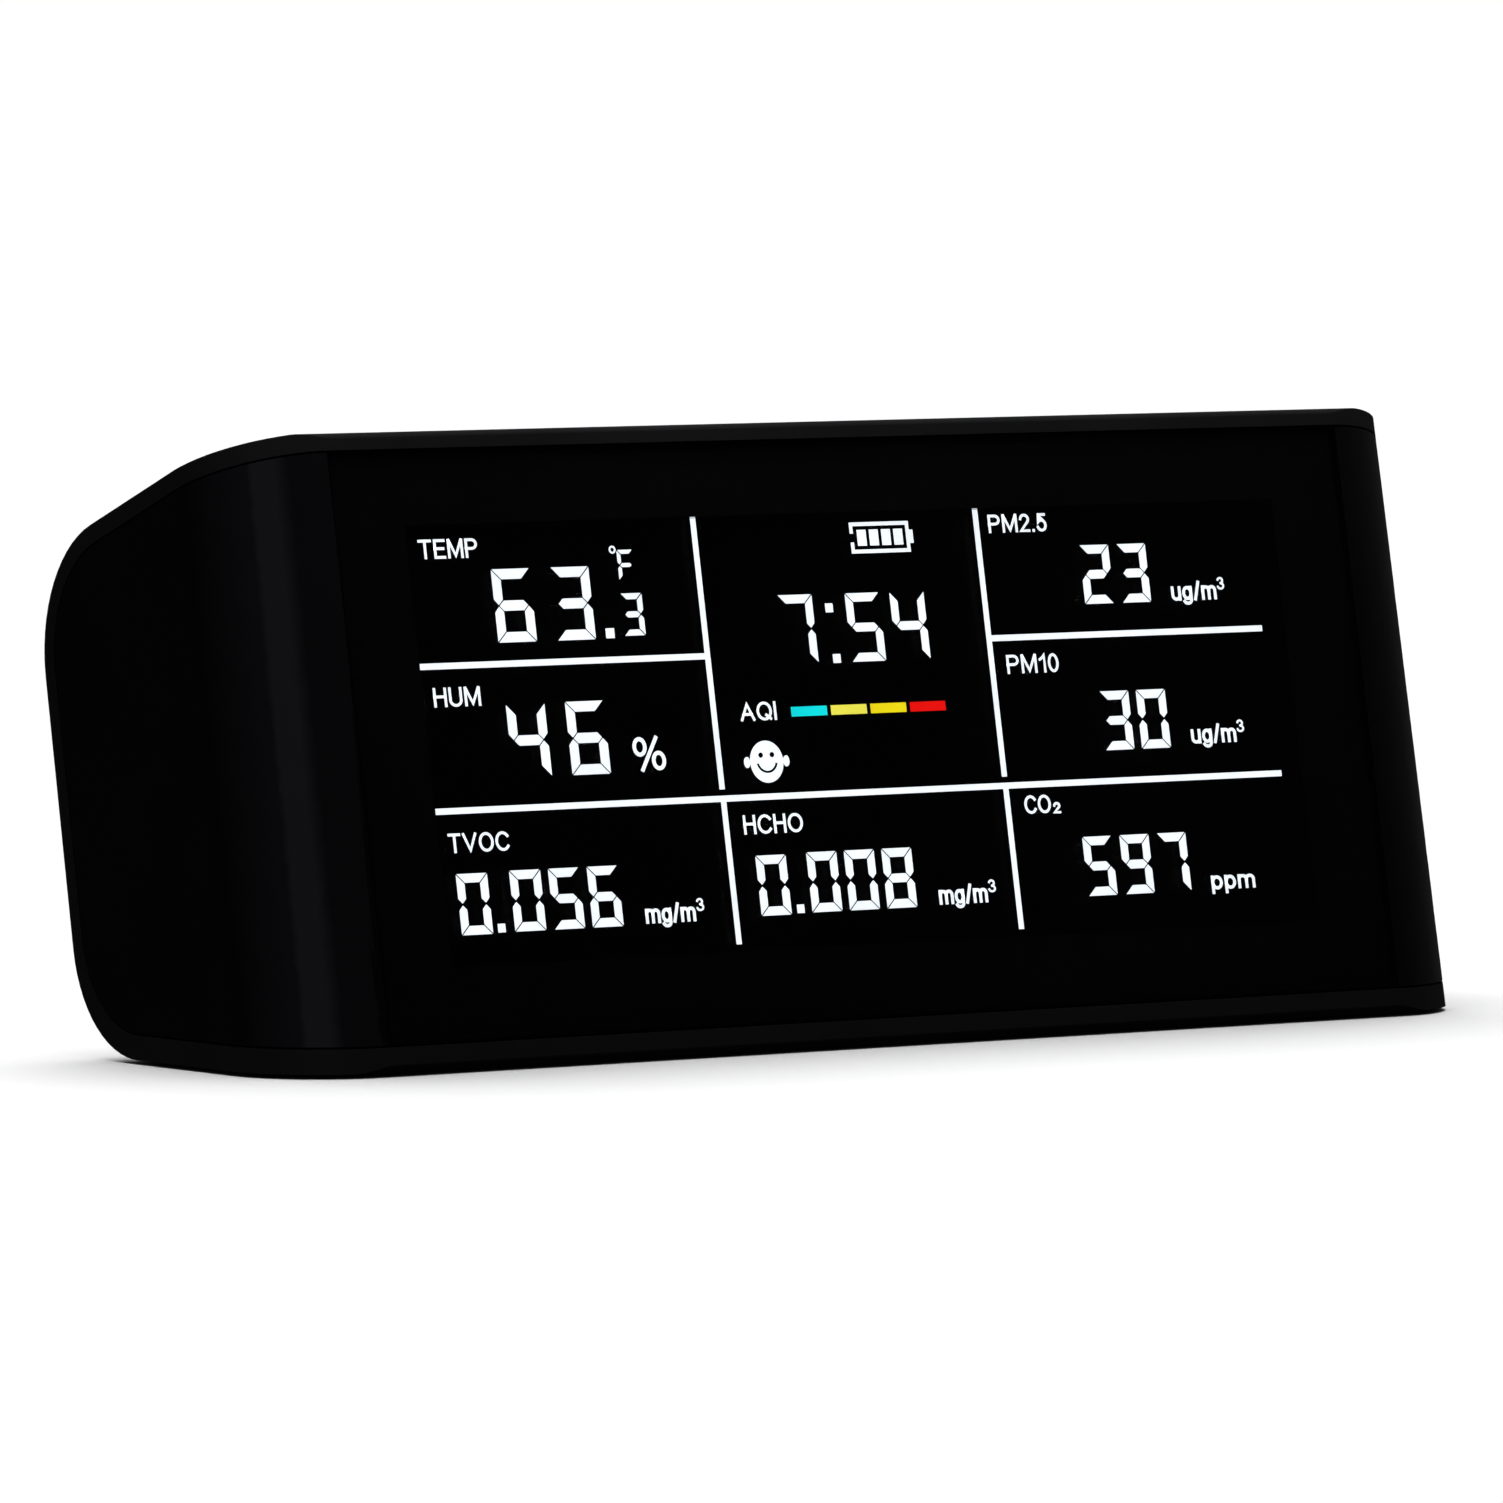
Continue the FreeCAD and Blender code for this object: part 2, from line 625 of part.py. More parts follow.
def battery_lead():
    """Two wires, each straight out of the cell's end and then up into its socket."""
    wires = []
    for y in LEAD_Y:
        start = FreeCAD.Vector(BATTERY_X[0], y, LEAD_START_Z)
        turn_in = FreeCAD.Vector(LEAD_TURN_X + LEAD_BEND_R, y, LEAD_START_Z)
        turn_out = FreeCAD.Vector(LEAD_TURN_X, y, LEAD_START_Z + LEAD_BEND_R)
        slack = LEAD_BEND_R * (1.0 - cosine(45.0))
        middle = FreeCAD.Vector(LEAD_TURN_X + slack, y, LEAD_START_Z + slack)
        end = FreeCAD.Vector(LEAD_TURN_X, y, SOCKET_Z[0])
        path = Part.Wire([
            Part.LineSegment(start, turn_in).toShape(),
            Part.Arc(turn_in, middle, turn_out).toShape(),
            Part.LineSegment(turn_out, end).toShape(),
        ])
        ring = Part.Wire(Part.makeCircle(LEAD_R, start, FreeCAD.Vector(-1, 0, 0)))
        wires.append(path.makePipeShell([ring], True, True))
    return placed(Part.makeCompound(wires), FACE_FRAME)


def co2_sensor():
    can = box(CO2_X, CO2_Y, CO2_Z)
    can = can.makeFillet(CO2_EDGE_R, edges_along(can, Y_AXIS))
    pins = [
        rod(CO2_PIN_R, x, (BOARD_BACK, CO2_Y[0] + CO2_PIN_R), z)
        for x in (CO2_X[0] + CO2_PIN_INSET, CO2_X[1] - CO2_PIN_INSET)
        for z in (CO2_Z[0] + CO2_PIN_INSET, CO2_Z[1] - CO2_PIN_INSET)
    ]
    return placed(can.fuse(pins), FACE_FRAME)


def formaldehyde_sensor():
    top = BOARD_BACK + GAS_CELL_HEIGHT
    can = rod(GAS_CELL_R, GAS_CELL_X, (BOARD_BACK, top), GAS_CELL_Z)
    cap = rod(GAS_CAP_R, GAS_CELL_X, (top, top + GAS_CAP_HEIGHT), GAS_CELL_Z)
    hole = rod(BUZZER_HOLE_R, GAS_CELL_X, (top, FAR), GAS_CELL_Z)
    return placed(can.fuse(cap).cut(hole), FACE_FRAME)


def voc_sensor():
    top = BOARD_BACK + VOC_HEIGHT
    can = rod(VOC_R - VOC_RIM, VOC_X, (BOARD_BACK, top), VOC_Z)
    rim = rod(VOC_R, VOC_X, (BOARD_BACK, BOARD_BACK + VOC_RIM), VOC_Z)
    return placed(can.fuse(rim), FACE_FRAME)


def climate_sensor():
    """A small pierced box that measures temperature and humidity."""
    top = BOARD_BACK + CLIMATE_HEIGHT
    shell = box(CLIMATE_X, (BOARD_BACK, top), CLIMATE_Z)
    slot_x = (CLIMATE_X[0] + CLIMATE_SLOT_INSET, CLIMATE_X[1] - CLIMATE_SLOT_INSET)
    slots = []
    for i in range(CLIMATE_SLOTS):
        z = CLIMATE_Z[0] + CLIMATE_SLOT_START + CLIMATE_SLOT_PITCH * i
        slots.append(box(slot_x, (top - CLIMATE_SLOT_DEPTH, FAR), (z, z + CLIMATE_SLOT_WIDTH)))
    return placed(shell.cut(slots), FACE_FRAME)


def buzzer():
    top = BOARD_BACK + BUZZER_HEIGHT
    can = rod(BUZZER_R, VOC_X, (BOARD_BACK, top), BUZZER_Z)
    hole = rod(BUZZER_HOLE_R, VOC_X, (top - BUZZER_HOLE_DEPTH, FAR), BUZZER_Z)
    return placed(can.cut(hole), FACE_FRAME)


def pillar_places():
    return [
        (x, z)
        for x in (SENSOR_X[0] + PILLAR_INSET, SENSOR_X[1] - PILLAR_INSET)
        for z in (SENSOR_Z[0] + PILLAR_INSET, SENSOR_Z[1] - PILLAR_INSET)
    ]


def rounded_slab(x, y, z, radius):
    """A block with its four edges along y rounded."""
    slab = box(x, y, z)
    return slab.makeFillet(radius, edges_along(slab, Y_AXIS))


def sensor_case():
    """The particle sensor's open case, with a screw pillar in each corner."""
    case = rounded_slab(SENSOR_X, SENSOR_Y, SENSOR_Z, SENSOR_CORNER_R)
    hollow = box(
        (SENSOR_X[0] + SENSOR_WALL, SENSOR_X[1] - SENSOR_WALL),
        (SENSOR_Y[0] + SENSOR_WALL, FAR),
        (SENSOR_Z[0] + SENSOR_WALL, SENSOR_Z[1] - SENSOR_WALL),
    )
    case = case.cut(hollow)
    for x, z in pillar_places():
        case = case.fuse(rod(PILLAR_R, x, SENSOR_Y, z))
        start = SENSOR_Y[1] - TINY_SCREW_LENGTH + LID_THICK - FIT_GAP
        case = case.cut(rod(TINY_SCREW_R + THREAD_GAP, x, (start, FAR), z))
    return placed(case.removeSplitter(), FACE_FRAME)


def sensor_lid():
    """The particle sensor's lid: a barred intake over the fan and slots over the chamber."""
    depth = (SENSOR_Y[1], SENSOR_Y[1] + LID_THICK)
    lid = rounded_slab(SENSOR_X, depth, SENSOR_Z, SENSOR_CORNER_R)
    intake = rod(INTAKE_R, FAN_X, depth, FAN_Z).cut([
        rod(INTAKE_BOSS_R, FAN_X, depth, FAN_Z),
        box(around(FAN_X, INTAKE_BAR), depth, around(FAN_Z, 2 * INTAKE_R)),
        box(around(FAN_X, 2 * INTAKE_R), depth, around(FAN_Z, INTAKE_BAR)),
    ])
    cuts = [intake]
    slot_z = around(SENSOR_Z[0] + LID_SLOT_LIFT, LID_SLOT_HEIGHT)
    for i in range(LID_SLOTS):
        x = SENSOR_X[0] + LID_SLOT_START + LID_SLOT_PITCH * i
        cuts.append(box((x, x + LID_SLOT_WIDTH), depth, slot_z))
    for x, z in pillar_places():
        cuts.append(rod(TINY_SCREW_R + FIT_GAP, x, depth, z))
    return placed(lid.cut(cuts), FACE_FRAME)


def sensor_board():
    floor = SENSOR_Y[0] + SENSOR_WALL
    board = box(
        (SENSOR_X[0] + SENSOR_WALL + FIT_GAP, SENSOR_X[1] - SENSOR_WALL - FIT_GAP),
        (floor, floor + SENSOR_BOARD_THICK),
        (SENSOR_Z[0] + SENSOR_WALL + FIT_GAP, SENSOR_Z[1] - SENSOR_WALL - FIT_GAP),
    )
    cuts = [rod(MOTOR_R + 2 * FIT_GAP, FAN_X, (0, FAR), FAN_Z)]
    notch = 2.0 * (PILLAR_INSET + PILLAR_R)
    for x in SENSOR_X:
        for z in SENSOR_Z:
            cuts.append(box(around(x, notch), (0, FAR), around(z, notch)))
    return placed(board.cut(cuts), FACE_FRAME)


def scatter_chamber():
    """The dark block where the laser beam crosses the air stream."""
    floor = SENSOR_Y[0] + SENSOR_WALL + SENSOR_BOARD_THICK
    block = box(CHAMBER_X, (floor, CHAMBER_TOP), CHAMBER_Z)
    duct_x = around(sum(CHAMBER_X) / 2.0, DUCT_WIDTH)
    duct_z = around(sum(CHAMBER_Z) / 2.0, DUCT_HEIGHT)
    duct = box(duct_x, (floor + DUCT_FLOOR, FAR), duct_z)
    return placed(block.cut(duct), FACE_FRAME)


def laser_module():
    floor = SENSOR_Y[0] + SENSOR_WALL + SENSOR_BOARD_THICK
    start = FreeCAD.Vector(LASER_X[0], floor + LASER_R + FIT_GAP, LASER_Z)
    tube = Part.makeCylinder(LASER_R, LASER_X[1] - LASER_X[0], start, X_AXIS)
    return placed(tube, FACE_FRAME)


def sensor_pad():
    """Foam that holds the particle sensor off the main board."""
    return placed(box(PAD_X, (BOARD_BACK, SENSOR_Y[0]), PAD_Z), FACE_FRAME)


def sensor_link():
    """The short flat lead between the particle sensor and its socket."""
    strip_x = (SENSOR_LINK_X[0] + SOCKET_OVERHANG, SENSOR_LINK_X[1] - SOCKET_OVERHANG)
    depth = (BOARD_BACK + LINK_HEIGHT, SENSOR_Y[0])
    return placed(box(strip_x, depth, around(SENSOR_LINK_Z, 2 * RIBBON_THICK)), FACE_FRAME)


def fan_motor():
    floor = SENSOR_Y[0] + SENSOR_WALL
    body = rod(MOTOR_R, FAN_X, (floor, MOTOR_Y), FAN_Z)
    return placed(body.fuse(rod(SHAFT_R, FAN_X, (MOTOR_Y, SHAFT_TOP), FAN_Z)), FACE_FRAME)


def fan_rotor():
    """The blower wheel: a hub on the motor's shaft, a back plate and swept blades."""
    hub = rod(FAN_HUB_R, FAN_X, FAN_Y, FAN_Z)
    plate = rod(FAN_R, FAN_X, (FAN_Y[0], FAN_Y[0] + FAN_PLATE), FAN_Z)
    blade_x = (FAN_HUB_R - BLADE_ROOT, FAN_R - BLADE_TIP)
    blade = box(blade_x, (0, FAN_Y[1] - FAN_Y[0]), around(0.0, BLADE_THICK))
    blade.rotate(FreeCAD.Vector(FAN_HUB_R, 0, 0), FreeCAD.Vector(0, 1, 0), BLADE_SWEEP)
    blades = []
    for i in range(FAN_BLADES):
        turned = blade.copy()
        turned.rotate(FreeCAD.Vector(0, 0, 0), FreeCAD.Vector(0, 1, 0), 360.0 * i / FAN_BLADES)
        turned.translate(FreeCAD.Vector(FAN_X, FAN_Y[0], FAN_Z))
        blades.append(turned)
    wheel = hub.fuse([plate] + blades)
    wheel = wheel.cut(rod(SHAFT_R + SHAFT_GAP, FAN_X, (0, FAR), FAN_Z))
    return placed(wheel.removeSplitter(), FACE_FRAME)


def vent_mesh():
    """Fine dust cloth stuck inside the back wall, over every vent slot."""
    x = (VENT_X[0] - 2 * MESH_EDGE, VENT_X[1] + MESH_EDGE)
    depth = (-BACK_WALL - MESH_THICK, -BACK_WALL)
    z = (VENT_ROWS[0] - MESH_EDGE, VENT_ROWS[1] + VENT_HEIGHT + MESH_EDGE)
    return placed(box(x, depth, z), BACK_FRAME)


def button(x):
    """A round cap that passes through the back wall, with a flange that keeps it in."""
    flange_out = -BACK_WALL - FIT_GAP
    flange = rod(BUTTON_FLANGE_R, x, (flange_out - BUTTON_FLANGE, flange_out), BUTTON_Z)
    cap = rod(BUTTON_R, x, (flange_out - BUTTON_FLANGE, BUTTON_PROUD), BUTTON_Z)
    rim = [edge for edge in cap.Edges if abs(edge.BoundBox.YMin - BUTTON_PROUD) < 0.01]
    cap = cap.makeFillet(BUTTON_PROUD / 2.0, rim)
    return placed(cap.fuse(flange), BACK_FRAME)


def button_switches():
    switches = []
    for _, x in BUTTON_STACK:
        top = IO_BOARD_Y + SWITCH_THICK
        case = box(around(x, SWITCH_SIZE), (IO_BOARD_Y, top), around(BUTTON_Z, SWITCH_SIZE))
        switches.append(case.fuse(rod(SWITCH_TIP_R, x, (top, top + SWITCH_TIP), BUTTON_Z)))
    return placed(Part.makeCompound(switches), BACK_FRAME)


def io_board():
    """The small board behind the back wall that carries the switches and the charging port."""
    board = box(IO_BOARD_X, (IO_BOARD_Y - IO_BOARD_THICK, IO_BOARD_Y), IO_BOARD_Z)
    holes = [rod(SMALL_SCREW_R + FIT_GAP, x, (-FAR, FAR), z) for x, z in io_boss_places()]
    return placed(board.cut(holes), BACK_FRAME)


def usb_port():
    """The charging port: a rounded metal shell with its tongue, upright on the small board."""
    depth = (IO_BOARD_Y, -PORT_SINK)
    outer_x, outer_z = around(PORT_X, PORT_WIDTH), around(PORT_Z, PORT_HEIGHT)
    inner_x = around(PORT_X, PORT_WIDTH - 2 * PORT_SHEET)
    inner_z = around(PORT_Z, PORT_HEIGHT - 2 * PORT_SHEET)
    outer = rounded_slab(outer_x, depth, outer_z, PORT_OUTER_R)
    inner = rounded_slab(inner_x, (IO_BOARD_Y + PAST, PAST), inner_z, PORT_INNER_R)
    tongue_y = (IO_BOARD_Y + TONGUE_ROOT, -PORT_SINK - TONGUE_SINK)
    tongue_z = around(PORT_Z, TONGUE_THICK)
    tongue = box(around(PORT_X, TONGUE_WIDTH), tongue_y, tongue_z)
    return placed(outer.cut(inner).fuse(tongue), BACK_FRAME)


def link_ribbon():
    """The flat cable between the main board and the small board."""
    socket_face = FreeCAD.Vector(0, IO_BOARD_Y - IO_BOARD_THICK - LINK_HEIGHT, LINK_SOCKET_Z)
    end = FACE_FRAME.inverse().multVec(BACK_FRAME.multVec(socket_face))
    strip = box(LINK_X, (BOARD_BACK + LINK_HEIGHT, end.y), around(LINK_Z, RIBBON_THICK))
    return placed(strip, FACE_FRAME)


def link_socket():
    y = IO_BOARD_Y - IO_BOARD_THICK
    link_x = (LINK_X[0] - SOCKET_OVERHANG, LINK_X[1] + SOCKET_OVERHANG)
    socket = box(link_x, (y - LINK_HEIGHT, y), around(LINK_SOCKET_Z, LINK_BODY))
    return placed(socket, BACK_FRAME)


def screw(radius, length, head_r, head_height):
    """A screw along +y, its head's top at y = 0 below a cross recess, its shank pointing to -y."""
    head = rod(head_r, 0, (-head_height, 0), 0)
    shank = rod(radius, 0, (-head_height - length, -head_height), 0)
    long_way = around(0, 2 * RECESS_ARM * radius)
    short_way = around(0, RECESS_WIDTH * radius)
    depth = (-RECESS_DEPTH, PAST)
    recess = [box(long_way, depth, short_way), box(short_way, depth, long_way)]
    return head.fuse(shank).cut(recess)


def screws(one, places, head_y, frame, into=1.0):
    """Copies of a screw with their head tops at head_y, driven along -y, or +y if into is -1."""
    copies = []
    for x, z in places:
        copy = one.copy()
        if into < 0:
            copy.rotate(FreeCAD.Vector(0, 0, 0), FreeCAD.Vector(0, 0, 1), 180)
        copy.translate(FreeCAD.Vector(x, head_y, z))
        copies.append(placed(copy, frame))
    return copies


def case_screws():
    one = screw(CASE_SCREW_R, CASE_SCREW_LENGTH, CASE_HEAD_R, CASE_HEAD_HEIGHT)
    return Part.makeCompound(screws(one, case_screw_places(), 0.0, BACK_FRAME))


def board_screws():
    one = screw(SMALL_SCREW_R, SMALL_SCREW_LENGTH, SMALL_HEAD_R, SMALL_HEAD_HEIGHT)
    short = screw(SMALL_SCREW_R, SHORT_SCREW_LENGTH, SMALL_HEAD_R, SMALL_HEAD_HEIGHT)
    board_head = BOARD_BACK + SMALL_HEAD_HEIGHT
    tab_head = CELL_Y + TRAY_TAB_LIFT + TRAY_FLOOR + SMALL_HEAD_HEIGHT
    io_head = IO_BOARD_Y - IO_BOARD_THICK - SMALL_HEAD_HEIGHT
    tab_places = [(-TRAY_TAB_X, DISPLAY_Z), (TRAY_TAB_X, DISPLAY_Z)]
    group = screws(one, board_hole_places(), board_head, FACE_FRAME)
    group += screws(short, tab_places, tab_head, FACE_FRAME)
    group += screws(short, io_boss_places(), io_head, BACK_FRAME, into=-1.0)
    return Part.makeCompound(group)


def sensor_screws():
    one = screw(TINY_SCREW_R, TINY_SCREW_LENGTH, TINY_HEAD_R, TINY_HEAD_HEIGHT)
    head = SENSOR_Y[1] + LID_THICK + TINY_HEAD_HEIGHT
    return Part.makeCompound(screws(one, pillar_places(), head, FACE_FRAME))


def rubber_feet():
    feet = []
    for x, y in foot_places():
        feet.append(Part.makeCylinder(FOOT_R, FOOT_PROUD + FOOT_SINK, FreeCAD.Vector(x, y, 0)))
    return Part.makeCompound(feet)


def build():
    pieces = {
        "housing": housing(),
        "front_bezel": front_bezel(),
        "lens": lens(),
        "lens_tape": lens_tape(),
        "lcd_panel": lcd_panel(),
        "backlight": backlight(),
        "display_tray": display_tray(),
        "display_ribbon": display_ribbon(),
        "main_board": main_board(),
        "board_chips": board_chips(),
        "board_sockets": board_sockets(),
        "battery": battery(),
        "battery_pad": battery_pad(),
        "battery_lead": battery_lead(),
        "co2_sensor": co2_sensor(),
        "formaldehyde_sensor": formaldehyde_sensor(),
        "voc_sensor": voc_sensor(),
        "climate_sensor": climate_sensor(),
        "buzzer": buzzer(),
        "sensor_case": sensor_case(),
        "sensor_lid": sensor_lid(),
        "sensor_board": sensor_board(),
        "scatter_chamber": scatter_chamber(),
        "laser_module": laser_module(),
        "sensor_pad": sensor_pad(),
        "sensor_link": sensor_link(),
        "fan_motor": fan_motor(),
        "fan_rotor": fan_rotor(),
        "vent_mesh": vent_mesh(),
        "button_switches": button_switches(),
        "io_board": io_board(),
        "usb_port": usb_port(),
        "link_ribbon": link_ribbon(),
        "link_socket": link_socket(),
        "case_screws": case_screws(),
        "board_screws": board_screws(),
        "sensor_screws": sensor_screws(),
        "rubber_feet": rubber_feet(),
    }
    for name, x in BUTTON_STACK:
        pieces[name] = button(x)
    return pieces


os.makedirs("parts", exist_ok=True)
for node, shape in build().items():
    shape.exportStep(f"parts/{node}.step")
    valid = shape.isValid() and all(solid.isClosed() for solid in shape.Solids)
    print(f"{node}: {len(shape.Solids)} solids, {shape.Volume:.0f} mm3, valid {valid}")
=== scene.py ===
import json
import math

import bmesh
import bpy
from mathutils import Matrix, Vector

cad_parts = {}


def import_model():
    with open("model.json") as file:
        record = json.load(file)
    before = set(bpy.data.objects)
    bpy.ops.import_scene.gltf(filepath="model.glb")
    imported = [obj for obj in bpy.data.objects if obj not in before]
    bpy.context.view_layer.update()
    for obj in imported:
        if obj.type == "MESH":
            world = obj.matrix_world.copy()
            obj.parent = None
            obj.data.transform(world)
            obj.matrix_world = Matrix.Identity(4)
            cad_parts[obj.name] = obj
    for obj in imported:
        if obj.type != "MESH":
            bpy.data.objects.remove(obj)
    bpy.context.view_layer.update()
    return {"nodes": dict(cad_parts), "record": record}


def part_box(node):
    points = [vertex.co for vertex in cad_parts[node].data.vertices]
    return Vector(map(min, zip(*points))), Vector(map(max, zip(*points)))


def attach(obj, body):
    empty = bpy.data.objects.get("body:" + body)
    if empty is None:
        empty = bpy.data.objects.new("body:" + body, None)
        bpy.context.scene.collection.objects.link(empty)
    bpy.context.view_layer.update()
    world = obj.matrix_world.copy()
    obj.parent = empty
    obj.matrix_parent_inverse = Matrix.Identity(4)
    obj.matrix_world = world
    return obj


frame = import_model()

# Desktop air quality monitor: looks only. The shape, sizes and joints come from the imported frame.
MM = 0.001
NODES = frame["nodes"]

# The two leaning planes of the body, as in the frame. Local x is right, y is depth and z is up.
FACE_LEAN = math.radians(10.5)
BACK_LEAN = math.radians(11.0)
FOOT_Z = 0.5 * MM
LENS_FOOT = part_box("lens")[0]
FOOT = Vector((0.0, LENS_FOOT.y - (LENS_FOOT.z - FOOT_Z) * math.tan(FACE_LEAN), FOOT_Z))
BODY_DEPTH = 44.0 * MM
FACE = Matrix.Translation(FOOT) @ Matrix.Rotation(-FACE_LEAN, 4, "X")
BACK = Matrix.Translation(FOOT + Vector((0, BODY_DEPTH, 0))) @ Matrix.Rotation(-BACK_LEAN, 4, "X")

# Display layers, in millimetres in the face plane
LENS_WIDTH = 134.6
LENS_BACK = 1.6
CELL_FRONT = 3.4
DISPLAY_Z = 35.2
WINDOW = (116.0, 48.3)
GLOW_THICK = 0.05


# ---------------------------------------------------------------- materials

def new_material(name):
    """A node material, its nodes, its links, its Principled shader and a point in object space."""
    material = bpy.data.materials.new(name)
    material.use_nodes = True
    nodes, links = material.node_tree.nodes, material.node_tree.links
    shader = nodes["Principled BSDF"]
    place = nodes.new("ShaderNodeTexCoord").outputs["Object"]
    return material, nodes, links, shader, place


def noise(nodes, links, place, scale, detail=3.0, roughness=0.55, stretch=None):
    """A noise pattern with features about 1/scale metres across."""
    texture = nodes.new("ShaderNodeTexNoise")
    texture.inputs["Scale"].default_value = scale
    texture.inputs["Detail"].default_value = detail
    texture.inputs["Roughness"].default_value = roughness
    if stretch:
        mapping = nodes.new("ShaderNodeMapping")
        mapping.inputs["Scale"].default_value = stretch
        links.new(place, mapping.inputs["Vector"])
        place = mapping.outputs["Vector"]
    links.new(place, texture.inputs["Vector"])
    return texture.outputs["Fac"]


def remap(nodes, links, value, low, high, start=0.3, end=0.7):
    """The value spread between low and high."""
    spread = nodes.new("ShaderNodeMapRange")
    spread.inputs["From Min"].default_value = start
    spread.inputs["From Max"].default_value = end
    spread.inputs["To Min"].default_value = low
    spread.inputs["To Max"].default_value = high
    links.new(value, spread.inputs["Value"])
    return spread.outputs["Result"]


def blend_colours(nodes, links, value, first, second):
    """The first colour where the value is 0 and the second where it is 1."""
    mix = nodes.new("ShaderNodeMix")
    mix.data_type = "RGBA"
    mix.inputs["A"].default_value = (*first, 1.0)
    mix.inputs["B"].default_value = (*second, 1.0)
    links.new(value, mix.inputs["Factor"])
    return mix.outputs["Result"]


def bump(nodes, links, shader, height, strength, distance):
    """Gives the shader the relief of a pattern."""
    node = nodes.new("ShaderNodeBump")
    node.inputs["Strength"].default_value = strength
    node.inputs["Distance"].default_value = distance
    links.new(height, node.inputs["Height"])
    links.new(node.outputs["Normal"], shader.inputs["Normal"])


def plastic(name, dark, light, rough, grain, grain_height, specular=0.5, coat=0.0):
    """Moulded plastic: uneven tone, uneven gloss and a fine moulded grain."""
    material, nodes, links, shader, place = new_material(name)
    cloud = noise(nodes, links, place, 60.0)
    fine = noise(nodes, links, place, grain, detail=4.0)
    tone = remap(nodes, links, cloud, 0.0, 1.0)
    links.new(blend_colours(nodes, links, tone, dark, light), shader.inputs["Base Color"])
    links.new(remap(nodes, links, cloud, *rough), shader.inputs["Roughness"])
    shader.inputs["Specular IOR Level"].default_value = specular
    shader.inputs["Coat Weight"].default_value = coat
    shader.inputs["Coat Roughness"].default_value = 0.04
    bump(nodes, links, shader, fine, 0.35, grain_height)
    return material


def metal(name, dark, light, rough, stretch, grain=900.0):
    """Metal with fine drawn lines and cloudy tone."""
    material, nodes, links, shader, place = new_material(name)
    lines = noise(nodes, links, place, grain, detail=2.0, stretch=stretch)
    cloud = noise(nodes, links, place, 150.0)
    tone = remap(nodes, links, cloud, 0.0, 1.0)
    links.new(blend_colours(nodes, links, tone, dark, light), shader.inputs["Base Color"])
    links.new(remap(nodes, links, lines, *rough), shader.inputs["Roughness"])
    shader.inputs["Metallic"].default_value = 1.0
    bump(nodes, links, shader, lines, 0.15, 0.00002)
    return material


def circuit_board(name):
    """Green solder mask with copper tracks just showing under it."""
    material, nodes, links, shader, place = new_material(name)
    tracks = nodes.new("ShaderNodeTexBrick")
    tracks.inputs["Scale"].default_value = 260.0
    tracks.inputs["Mortar Size"].default_value = 0.03
    links.new(place, tracks.inputs["Vector"])
    cloud = remap(nodes, links, noise(nodes, links, place, 120.0), 0.0, 1.0)
    mask = blend_colours(nodes, links, cloud, (0.008, 0.085, 0.035), (0.012, 0.12, 0.05))
    mix = nodes.new("ShaderNodeMix")
    mix.data_type = "RGBA"
    mix.inputs["B"].default_value = (0.05, 0.22, 0.08, 1.0)
    links.new(tracks.outputs["Fac"], mix.inputs["Factor"])
    links.new(mask, mix.inputs["A"])
    links.new(mix.outputs["Result"], shader.inputs["Base Color"])
    links.new(remap(nodes, links, cloud, 0.25, 0.38), shader.inputs["Roughness"])
    bump(nodes, links, shader, tracks.outputs["Fac"], 0.3, 0.00004)
    return material


def woven(name, dark, light, pitch, rough=0.9):
    """Cloth or foam: a fine open weave, its gaps painted darker than its threads as painted shade."""
    material, nodes, links, shader, place = new_material(name)
    cells = nodes.new("ShaderNodeTexVoronoi")
    cells.inputs["Scale"].default_value = 1.0 / pitch
    links.new(place, cells.inputs["Vector"])
    depth = remap(nodes, links, cells.outputs["Distance"], 0.0, 1.0, 0.0, 0.7)
    # Painted shade: the colour darkens with the depth of the gap between the threads, and the same depth
    # gives the bump
    links.new(blend_colours(nodes, links, depth, light, dark), shader.inputs["Base Color"])
    fuzz = noise(nodes, links, place, 2500.0)
    links.new(remap(nodes, links, fuzz, rough - 0.1, rough), shader.inputs["Roughness"])
    bump(nodes, links, shader, depth, 0.6, pitch / 3.0)
    return material


def smoked_glass(name, tint, rough, smear):
    """Clear polished acrylic with a smoke tint and the faintest smears."""
    material, nodes, links, shader, place = new_material(name)
    cloud = noise(nodes, links, place, 25.0, detail=2.0, stretch=(1.0, 1.0, 3.0))
    tone = remap(nodes, links, cloud, 0.0, 1.0)
    lighter = tuple(min(1.0, channel * 1.03) for channel in tint)
    links.new(blend_colours(nodes, links, tone, tint, lighter), shader.inputs["Base Color"])
    links.new(remap(nodes, links, cloud, rough, rough + smear), shader.inputs["Roughness"])
    shader.inputs["IOR"].default_value = 1.49
    facing = nodes.new("ShaderNodeVectorMath")
    facing.operation = "DOT_PRODUCT"
    facing.inputs[1].default_value = FACE.to_3x3() @ Vector((0, 1, 0))
    links.new(nodes.new("ShaderNodeNewGeometry").outputs["True Normal"], facing.inputs[0])
    size = nodes.new("ShaderNodeMath")
    size.operation = "ABSOLUTE"
    links.new(facing.outputs["Value"], size.inputs[0])
    clear = remap(nodes, links, size.outputs["Value"], 0.0, 1.0, 0.985, 0.995)
    links.new(clear, shader.inputs["Transmission Weight"])
    edged = nodes.new("ShaderNodeMix")
    edged.data_type = "RGBA"
    edged.inputs["A"].default_value = (0.003, 0.003, 0.003, 1.0)
    links.new(clear, edged.inputs["Factor"])
    links.new(shader.inputs["Base Color"].links[0].from_socket, edged.inputs["B"])
    links.new(edged.outputs["Result"], shader.inputs["Base Color"])
    return material


